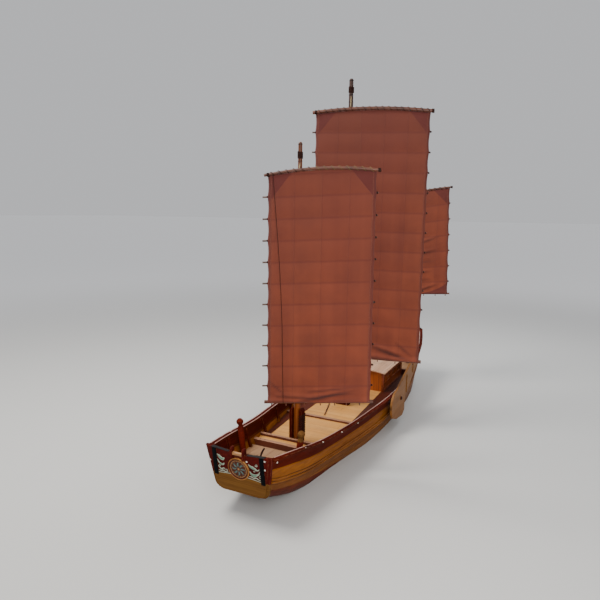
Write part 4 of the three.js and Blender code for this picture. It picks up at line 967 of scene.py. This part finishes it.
# Leeboards. Broad tan boards that turn on pins outside the bulwarks, each with an iron-bound
# pin head and two clamps nailed across its boards.
PIN_X, PIN_Z, CLAMP_HALF, CLAMP_THICK = -0.62, 1.11, 0.035, 0.022
board_wood = boarded("board_wood", (150, 102, 56), (104, 64, 33), (66, 40, 22), 0.36, 0.005)
for side_name, side in SIDES.items():
    body = f"{side_name}_board"
    softened(f"leeboard_{side_name}", f"leeboard_{side_name}_blade", body, board_wood, 0.01)
    pin_skin = skin_of(f"bulwark_{side_name}_aft", f"bulwark_{side_name}_fore")
    pin_y = hit(pin_skin, (PIN_X + 0.004, side * 3, PIN_Z + 0.003), (0, -side, 0)).y
    pin_head = Vector((PIN_X, pin_y, PIN_Z))
    bm = bmesh.new()
    dome(bm, pin_head, (0, side, 0), 0.040, 0.020, 18)
    ring_round(bm, pin_head + Vector((0, side * 0.002, 0)), (0, 1, 0), 0.044, 0.006, 28, 8)
    finished(bm, f"leeboard_pin_cap_{side_name}", "root", iron)
    board = skin_of(f"leeboard_{side_name}")
    bm = bmesh.new()
    for along, low_z, high_z in ((-1.22, 1.12, 1.68), (-1.92, 1.56, 1.88)):
        face = hit(board, (along, side * 3, (low_z + high_z) / 2), (0, -side, 0))
        if face:
            proud = face.y + side * CLAMP_THICK
            timber_block(bm, (along - CLAMP_HALF, face.y, low_z), (along + CLAMP_HALF, proud, high_z), 0.008)
            for share in (0.12, 0.5, 0.88):
                dome(bm, (along, proud, low_z + (high_z - low_z) * share), (0, side, 0), 0.013, 0.008, 10)
    finished(bm, f"leeboard_clamps_{side_name}", body, board_wood)


# Sails. Cotton cloths sewn edge to edge, tanned brick red, stretched on battens between a
# boom and a slightly bowed yard, with doubled cloth at the head's corners and down both edges.
SAIL_TURN = radians(110)
SAIL_ALONG = Vector((cos(SAIL_TURN), sin(SAIL_TURN), 0))
SAIL_AWAY = Vector((-sin(SAIL_TURN), cos(SAIL_TURN), 0))
FOOT_PANEL, YARD_CLEAR, SKIRT = 0.8, 0.0014, 0.14
SAILS = {
    "fore": dict(mast=(3.18, 0, 0), luff=0.715, leech=1.755, head=1.73, low=2.005, high=7.343,
                 low_slope=0.055, high_slope=0.048, bow=0.09, battens=10, boom=0.042, yard=0.034,
                 off=0.165, past=0.115),
    "main": dict(mast=(0.1, 0, 0), luff=0.94, leech=2.11, head=2.12, low=2.43, high=9.16, low_slope=-0.046,
                 high_slope=0.0075, bow=0.087, battens=12, boom=0.052, yard=0.044, off=0.21, past=0.08),
    "mizzen": dict(mast=(-4.65, 0.76, 0), luff=0.55, leech=1.178, head=1.065, low=3.676, high=7.218,
                   low_slope=0.028, high_slope=0.18, bow=0.03, battens=6, boom=0.032, yard=0.028, off=0.135,
                   past=0.06),
}


def sail_point(sail, along, height, away=0.0):
    """A point of a sail's plane: along the boom from the mast, up, and towards the mast."""
    return (Vector(sail["mast"]) + SAIL_ALONG * along + SAIL_AWAY * (away - sail["off"])
            + Vector((0, 0, height)))


def boom_height(sail, along):
    return sail["low"] + sail["low_slope"] * along


def chord_height(sail, along):
    return sail["high"] + sail["high_slope"] * along


def yard_height(sail, along):
    middle, half = (sail["head"] - sail["luff"]) / 2, (sail["head"] + sail["luff"]) / 2
    return chord_height(sail, along) + sail["bow"] * (1 - ((along - middle) / half) ** 2)


PATCH_WIDE, PATCH_DEEP, TABLING = 0.56, 0.62, 0.085
FOOT_PATCH_WIDE, FOOT_PATCH_DEEP, FOOT_PATCH_HOLLOW = 1.0, 0.45, 0.7
WEAVE_PITCH, STITCH_PITCH = 0.004, 0.03
sailcloth, shader = new_finish("sailcloth", Sheen_Weight=0.12, Sheen_Roughness=0.6, Roughness=0.9)[:2]
flat_at = {name: add_node(shader, "UVMap", uv_map=name).outputs["UV"]
           for name in ("cloth", "panel", "head", "foot")}
cloth_at, panel_at, head_at, foot_at = (
    add_node(shader, "SeparateXYZ", {"Vector": flat}).outputs for flat in flat_at.values())
colour = mix(ramp(clouds(flat_at["cloth"], 1.1, 7, 0.6), 0.3, 0.72), (112, 52, 35), (139, 68, 45))
# painted light: paler vertical streaks where daylight shows through the cloth from behind
light_through_cloth = clouds(mapped(flat_at["cloth"], scale=(1.5, 0.10, 1)), 1.6, 2)
colour = mix(ramp(light_through_cloth, 0.45, 0.7, 0.0, 0.35), colour, (160, 84, 58))
colour = mix(ramp(cloth_at["Y"], 0.5, 6.5, 0.0, 0.8), colour, (96, 46, 36))
cloth_seam, cloth_shade = caulk(cloth_at["X"], 0.62, 0.016)
in_patch = less(plus(over(head_at["X"], PATCH_WIDE), over(head_at["Y"], PATCH_DEEP)), 1.0)
foot_curve = plus(power(over(foot_at["X"], FOOT_PATCH_WIDE), FOOT_PATCH_HOLLOW),
                  power(over(foot_at["Y"], FOOT_PATCH_DEEP), FOOT_PATCH_HOLLOW))
patched = larger(in_patch, less(foot_curve, 1.0))
in_tabling = less(head_at["X"], TABLING)
# painted shadow: soft dark lines at the battens' heights, where the poles behind the cloth shade it
batten_shadow = caulk(plus(panel_at["Y"], 0.035), 1.0, 0.085)["Line"]
# painted shade below each crease, read from a mask that the cloth's mesh carries
fold_shade = add_node(shader, "Attribute", attribute_name="painted_fold_shade").outputs["Fac"]
stitches = times(less(size_of(minus(head_at["X"], TABLING - 0.012)), 0.003),
                 more(sine(times(cloth_at["Y"], tau / STITCH_PITCH)), 0.0))
# of these marks, the batten lines and the fold marks are painted shade; the rest is the cloth's own colour
for mask, share, tone in (
        (cloth_shade, 0.18, (98, 38, 32)), (cloth_seam, 0.25, (84, 34, 28)), (patched, 0.85, (88, 32, 28)),
        (in_tabling, 0.6, (86, 34, 28)), (batten_shadow, 0.42, (84, 30, 24)), (fold_shade, 0.62, (66, 26, 22)),
        (stitches, 0.5, (190, 130, 100))):
    colour = mix(times(mask, share, clamp=True), colour, tone)
weave = times(*(sine(times(cloth_at[way], tau / WEAVE_PITCH)) for way in "XY"))
raised = plus(times(larger(patched, in_tabling), 0.6), plus(times(weave, 0.05), times(cloth_seam, 0.8)))
feed(shader.inputs["Base Color"], colour)
bump(shader, raised, 0.004)


def crease(across, rise, start, end, depth, wide):
    """How far a fold drawn from start to end, in shares of the cloth, pushes it out at a place."""
    run = Vector((end[0] - start[0], end[1] - start[1]))
    offset = Vector((across - start[0], rise - start[1]))
    share = min(max(offset.dot(run) / run.length_squared, 0), 1)
    away = (offset - run * share).length
    return depth * 2.718 ** (-(away / wide) ** 2) * sin(pi * min(share + 0.15, 1))


# folds drawn in shares of the cloth: start, end, how far out in metres, how wide
CREASES = {
    "fore": [((0.30, 0.010), (0.98, 0.072), 0.050, 0.009), ((0.40, 0.052), (0.99, 0.078), 0.020, 0.006),
             ((0.10, 0.034), (0.75, 0.020), 0.034, 0.007), ((0.45, 0.032), (0.97, 0.046), -0.024, 0.006),
             ((0.02, 0.012), (0.45, 0.004), 0.02, 0.006), ((0.60, 0.010), (0.96, 0.018), -0.018, 0.005),
             ((0.03, 0.10), (0.22, 0.02), 0.012, 0.006)],
    "main": [((0.30, 0.020), (0.99, 0.003), 0.040, 0.008), ((0.55, 0.060), (0.985, 0.006), 0.044, 0.008),
             ((0.62, 0.042), (0.99, 0.002), -0.022, 0.006), ((0.78, 0.080), (0.985, 0.012), 0.020, 0.007)],
    "mizzen": [((0.05, 0.38), (0.95, 0.45), 0.034, 0.014), ((0.10, 0.31), (0.90, 0.34), -0.018, 0.012),
               ((0.30, 0.50), (0.92, 0.58), 0.018, 0.014), ((0.02, 0.20), (0.80, 0.24), 0.030, 0.013),
               ((0.15, 0.66), (0.55, 0.70), 0.014, 0.012), ((0.18, 0.78), (0.30, 0.92), 0.014, 0.010),
               ((0.20, 0.01), (0.97, 0.13), 0.026, 0.012), ((0.05, 0.12), (0.75, 0.16), 0.015, 0.010)],
}
for sail_name, sail in SAILS.items():
    luff, leech, head = sail["luff"], sail["leech"], sail["head"]
    bm = bmesh.new()
    bmesh.ops.create_grid(bm, x_segments=60, y_segments=sail["battens"] * 12 + 18, size=0.5)
    layers = [bm.loops.layers.uv.new(uv_name) for uv_name in flat_at]
    # a mask of painted shade along the folds, kept on each point of the cloth
    fold_shade_layer = bm.verts.layers.float.new("painted_fold_shade")
    flat = {}
    for vert in bm.verts:
        across, rise = vert.co.x + 0.5, vert.co.y + 0.5
        foot_along = -luff + (leech + luff) * across
        head_along = -luff + (head + luff) * across
        along = foot_along + (head_along - foot_along) * rise
        low = boom_height(sail, foot_along) - sail["boom"] * 0.3
        high = yard_height(sail, head_along) - sail["yard"] - YARD_CLEAR
        height = low + (high - low) * rise
        over_boom = height - boom_height(sail, along)
        chord = over_boom / (chord_height(sail, along) - boom_height(sail, along))
        panel = chord * (sail["battens"] + FOOT_PANEL) + 1 - FOOT_PANEL
        belly = max(sin(pi * (panel % 1)), 0)
        at_edge = abs(across * 2 - 1) ** 10
        along -= (1 if across > 0.5 else -1) * 0.022 * belly * at_edge
        soft = noise.noise(Vector((along * 1.3, height * 0.9, sail["high"]))) * 0.012
        away = -0.016 * belly * (1 - at_edge) + soft * min(1, 6 * rise, 6 * (1 - rise))
        for start, end, depth, wide in CREASES[sail_name]:
            away -= crease(across, rise, start, end, depth, wide) * min(1, max(over_boom, 0) / 0.1 + 0.3)
            # painted shade: the mask sits a little below each fold, on its shaded side
            vert[fold_shade_layer] += crease(across, rise + wide * 0.9, start, end, 1, wide * 0.8)
        skirt = min(max(1 - over_boom / SKIRT, 0), 1)
        away = away * (1 - skirt * 0.6) - (sail["boom"] + 0.007) * skirt * skirt * (3 - 2 * skirt)
        from_leech = (1 - across) * (leech + luff) if sail_name == "mizzen" else 9.0
        from_edge = min(across, 1 - across) * (head + luff)
        flat[vert] = ((along + luff, height - sail["low"]), (along, panel), (from_edge, high - height),
                      (from_leech, max(over_boom, 0)))
        vert.co = sail_point(sail, along, height, away)
    for face in bm.faces:
        face.smooth = True
        for loop in face.loops:
            for layer, value in zip(layers, flat[loop.vert]):
                loop[layer].uv = value
    mesh = bpy.data.meshes.new(f"{sail_name}_cloth")
    bm.to_mesh(mesh)
    bm.free()
    mesh.materials.append(sailcloth)
    cloth = put(mesh.name, mesh, f"{sail_name}_rig", f"{sail_name}_sail")
    thickness = cloth.modifiers.new("thickness", "SOLIDIFY")
    thickness.thickness, thickness.offset = 0.004, 0


# Battens. A bamboo pole behind each seam of the cloth on the mast's side, tied at both edges
# with a few turns of tarred cord, and a loop of rope that holds it to the mast.
BATTEN_POLE, BATTEN_TIP, SLEEVE, TIE_REACH = 0.015, 0.012, 0.020, 0.021
bamboo = plain_wood("bamboo", (92, 60, 44), (44, 26, 22), 1.6, Coat_Weight=0.15, Coat_Roughness=0.4)


def rod(bm, start, end, radius, end_radius=None, sides=10):
    start, end = Vector(start), Vector(end)
    run = end - start
    turn = run.to_track_quat("Z", "Y").to_matrix().to_4x4()
    bmesh.ops.create_cone(bm, cap_ends=True, segments=sides, radius1=radius, radius2=end_radius or radius,
                          depth=run.length, matrix=Matrix.Translation((start + end) / 2) @ turn)


for sail_name, sail in SAILS.items():
    rig = f"{sail_name}_rig"
    mast_x, mast_y, mast_top = MAST_PLACES[sail_name]
    bm, ties, loops = bmesh.new(), [], []
    for number in range(sail["battens"]):
        share = (number + FOOT_PANEL) / (sail["battens"] + FOOT_PANEL)
        edge = sail["leech"] + (sail["head"] - sail["leech"]) * share
        ends = (-sail["luff"] - sail["past"], edge + 0.045)
        heights = [boom_height(sail, a) + (chord_height(sail, a) - boom_height(sail, a)) * share
                   for a in ends]
        start, end = (sail_point(sail, a, h, TIE_REACH) for a, h in zip(ends, heights))
        lie = (end - start).normalized()
        rod(bm, start, end, BATTEN_POLE, BATTEN_TIP)
        rod(bm, start - lie * 0.004, start + lie * (sail["past"] - 0.02), SLEEVE)
        upward = Vector((0, 0, 1))
        out = lie.cross(upward).normalized()
        for at in (-sail["luff"] - 0.012, edge + 0.004):
            centre = start + lie * (at - ends[0])
            ties.append([centre + lie * (0.0085 * n / 8)
                         + (out * cos(tau * n / 8) + upward * sin(tau * n / 8)) * TIE_REACH
                         for n in range(25)])
        height = heights[0] + (heights[1] - heights[0]) * (-ends[0]) / (ends[1] - ends[0])
        loops.append(turns_round((mast_x, mast_y), sail["off"] - TIE_REACH, height, 0.95, 0, 20))
    finished(bm, f"{sail_name}_battens", rig, bamboo)
    drawn(f"{sail_name}_batten_ties", ties, 0.0065, rig, tarred_rope, "spar_wood", smooth=False, sides=2)
    drawn(f"{sail_name}_mast_loops", loops, 0.008, rig, tarred_rope, "spar_wood", closed=True)


# Booms and yards. Dark poles, straight below and slightly bowed above, with the rings that
# clasp the mast. A cord laces the cloth's head to the yard, and toggles hang under the boom.
dark_spar = plain_wood("dark_spar", (112, 62, 40), (50, 24, 20), 1.3, edge=(0.5, (176, 122, 84)),
                       Coat_Weight=0.12, Coat_Roughness=0.35)
old_cord = mottled("old_cord", (150, 128, 88), (62, 48, 34), 26.0, 5, 0.003, Roughness=0.9)
LACING_PITCH, LACING_RADIUS = 0.17, 0.0065
TOGGLES = {"fore": (0.19, 0.574, 0.915, 1.19, 1.50, -0.25, -0.60),
           "main": (-0.8, -0.4, 0.45, 0.95, 1.45, 1.95), "mizzen": (-0.4, 0.35, 0.75, 1.1)}


def round_yard(sail, along, reach, turns, moved=0.0):
    """A point beside the yard, part of a turn round it, and moved along it."""
    return sail_point(sail, along + moved, yard_height(sail, along) + reach * sin(tau * turns),
                      reach * cos(tau * turns))


for sail_name, sail in SAILS.items():
    rig, luff, head = f"{sail_name}_rig", sail["luff"], sail["head"]
    for spar in ("boom", "yard"):
        softened(f"{sail_name}_{spar}", f"{sail_name}_{spar}_pole", rig, dark_spar, 0.002)
    lacing = [round_yard(sail, -luff + 0.03 + LACING_PITCH * n / 12, sail["yard"] + 0.010, n / 12)
              for n in range(int((head + luff - 0.06) / LACING_PITCH * 12) + 1)]
    ends = [[round_yard(sail, along, sail["yard"] + 0.008, n / 10, 0.0016 * n) for n in range(41)]
            for along in (-luff - 0.02, head + 0.02)]
    middle = len(lacing) * 2 // 5
    leech_cord = old_cord if sail_name == "fore" else tarred_rope
    for part, runs, cord in (("yard", [lacing[:middle], *ends], tarred_rope),
                             ("leech", [lacing[middle:]], leech_cord)):
        drawn(f"{sail_name}_{part}_lacing", runs, LACING_RADIUS, rig, cord, "spar_wood", smooth=False,
              sides=2)
    bm = bmesh.new()
    for along in TOGGLES[sail_name]:
        boom_z = boom_height(sail, along)
        rod(bm, sail_point(sail, along, boom_z - sail["boom"] + 0.01),
            sail_point(sail, along, boom_z - sail["boom"] - 0.052), 0.011, 0.016, 8)
        ring_round(bm, sail_point(sail, along, boom_z), SAIL_ALONG, sail["boom"] + 0.005, 0.007, 20, 6)
    finished(bm, f"{sail_name}_boom_toggles", rig, dark_spar)
    mast_x, mast_y, mast_top = MAST_PLACES[sail_name]
    sling = sail_point(sail, 0.0, yard_height(sail, 0.0) + sail["yard"] + 0.004, 0.01)
    block_height = mast_top - 0.47
    block_reach = mast_radius(sail_name, block_height) + 0.012
    block = Vector((mast_x, mast_y, block_height)) - SAIL_AWAY * block_reach
    halyard = [sling, sling + Vector((0, 0, 0.05)) + SAIL_AWAY * 0.02, block - Vector((0, 0, 0.06)), block]
    drawn(f"{sail_name}_halyard", [halyard], 0.010, rig, rope_fibre, "spar_wood")

# the fore sail's lazy line, drawn tight from the yard's luff end to the boom before the cloth
sail = SAILS["fore"]
LINE_TOP, LINE_FOOT, BEFORE_CLOTH = -0.58, -0.31, -0.085
drawn("fore_lazy_line", [[sail_point(sail, LINE_TOP, yard_height(sail, LINE_TOP) - 0.02, BEFORE_CLOTH),
                          sail_point(sail, LINE_FOOT - 0.07, 4.6, BEFORE_CLOTH),
                          sail_point(sail, LINE_FOOT, boom_height(sail, LINE_FOOT), BEFORE_CLOTH)]], 0.006,
      "fore_rig", tarred_rope, "spar_wood")


# Boat pole. A short dark pole laid on the deck before the main mast.
low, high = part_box("main_deck")
POLE_RADIUS, POLE_TIP = 0.018, 0.014
bm = bmesh.new()
rod(bm, (0.31, -0.35, high[2] + POLE_RADIUS), (1.22, -0.11, high[2] + POLE_RADIUS), POLE_RADIUS, POLE_TIP, 12)
finished(bm, "boat_pole", "root", dark_spar)
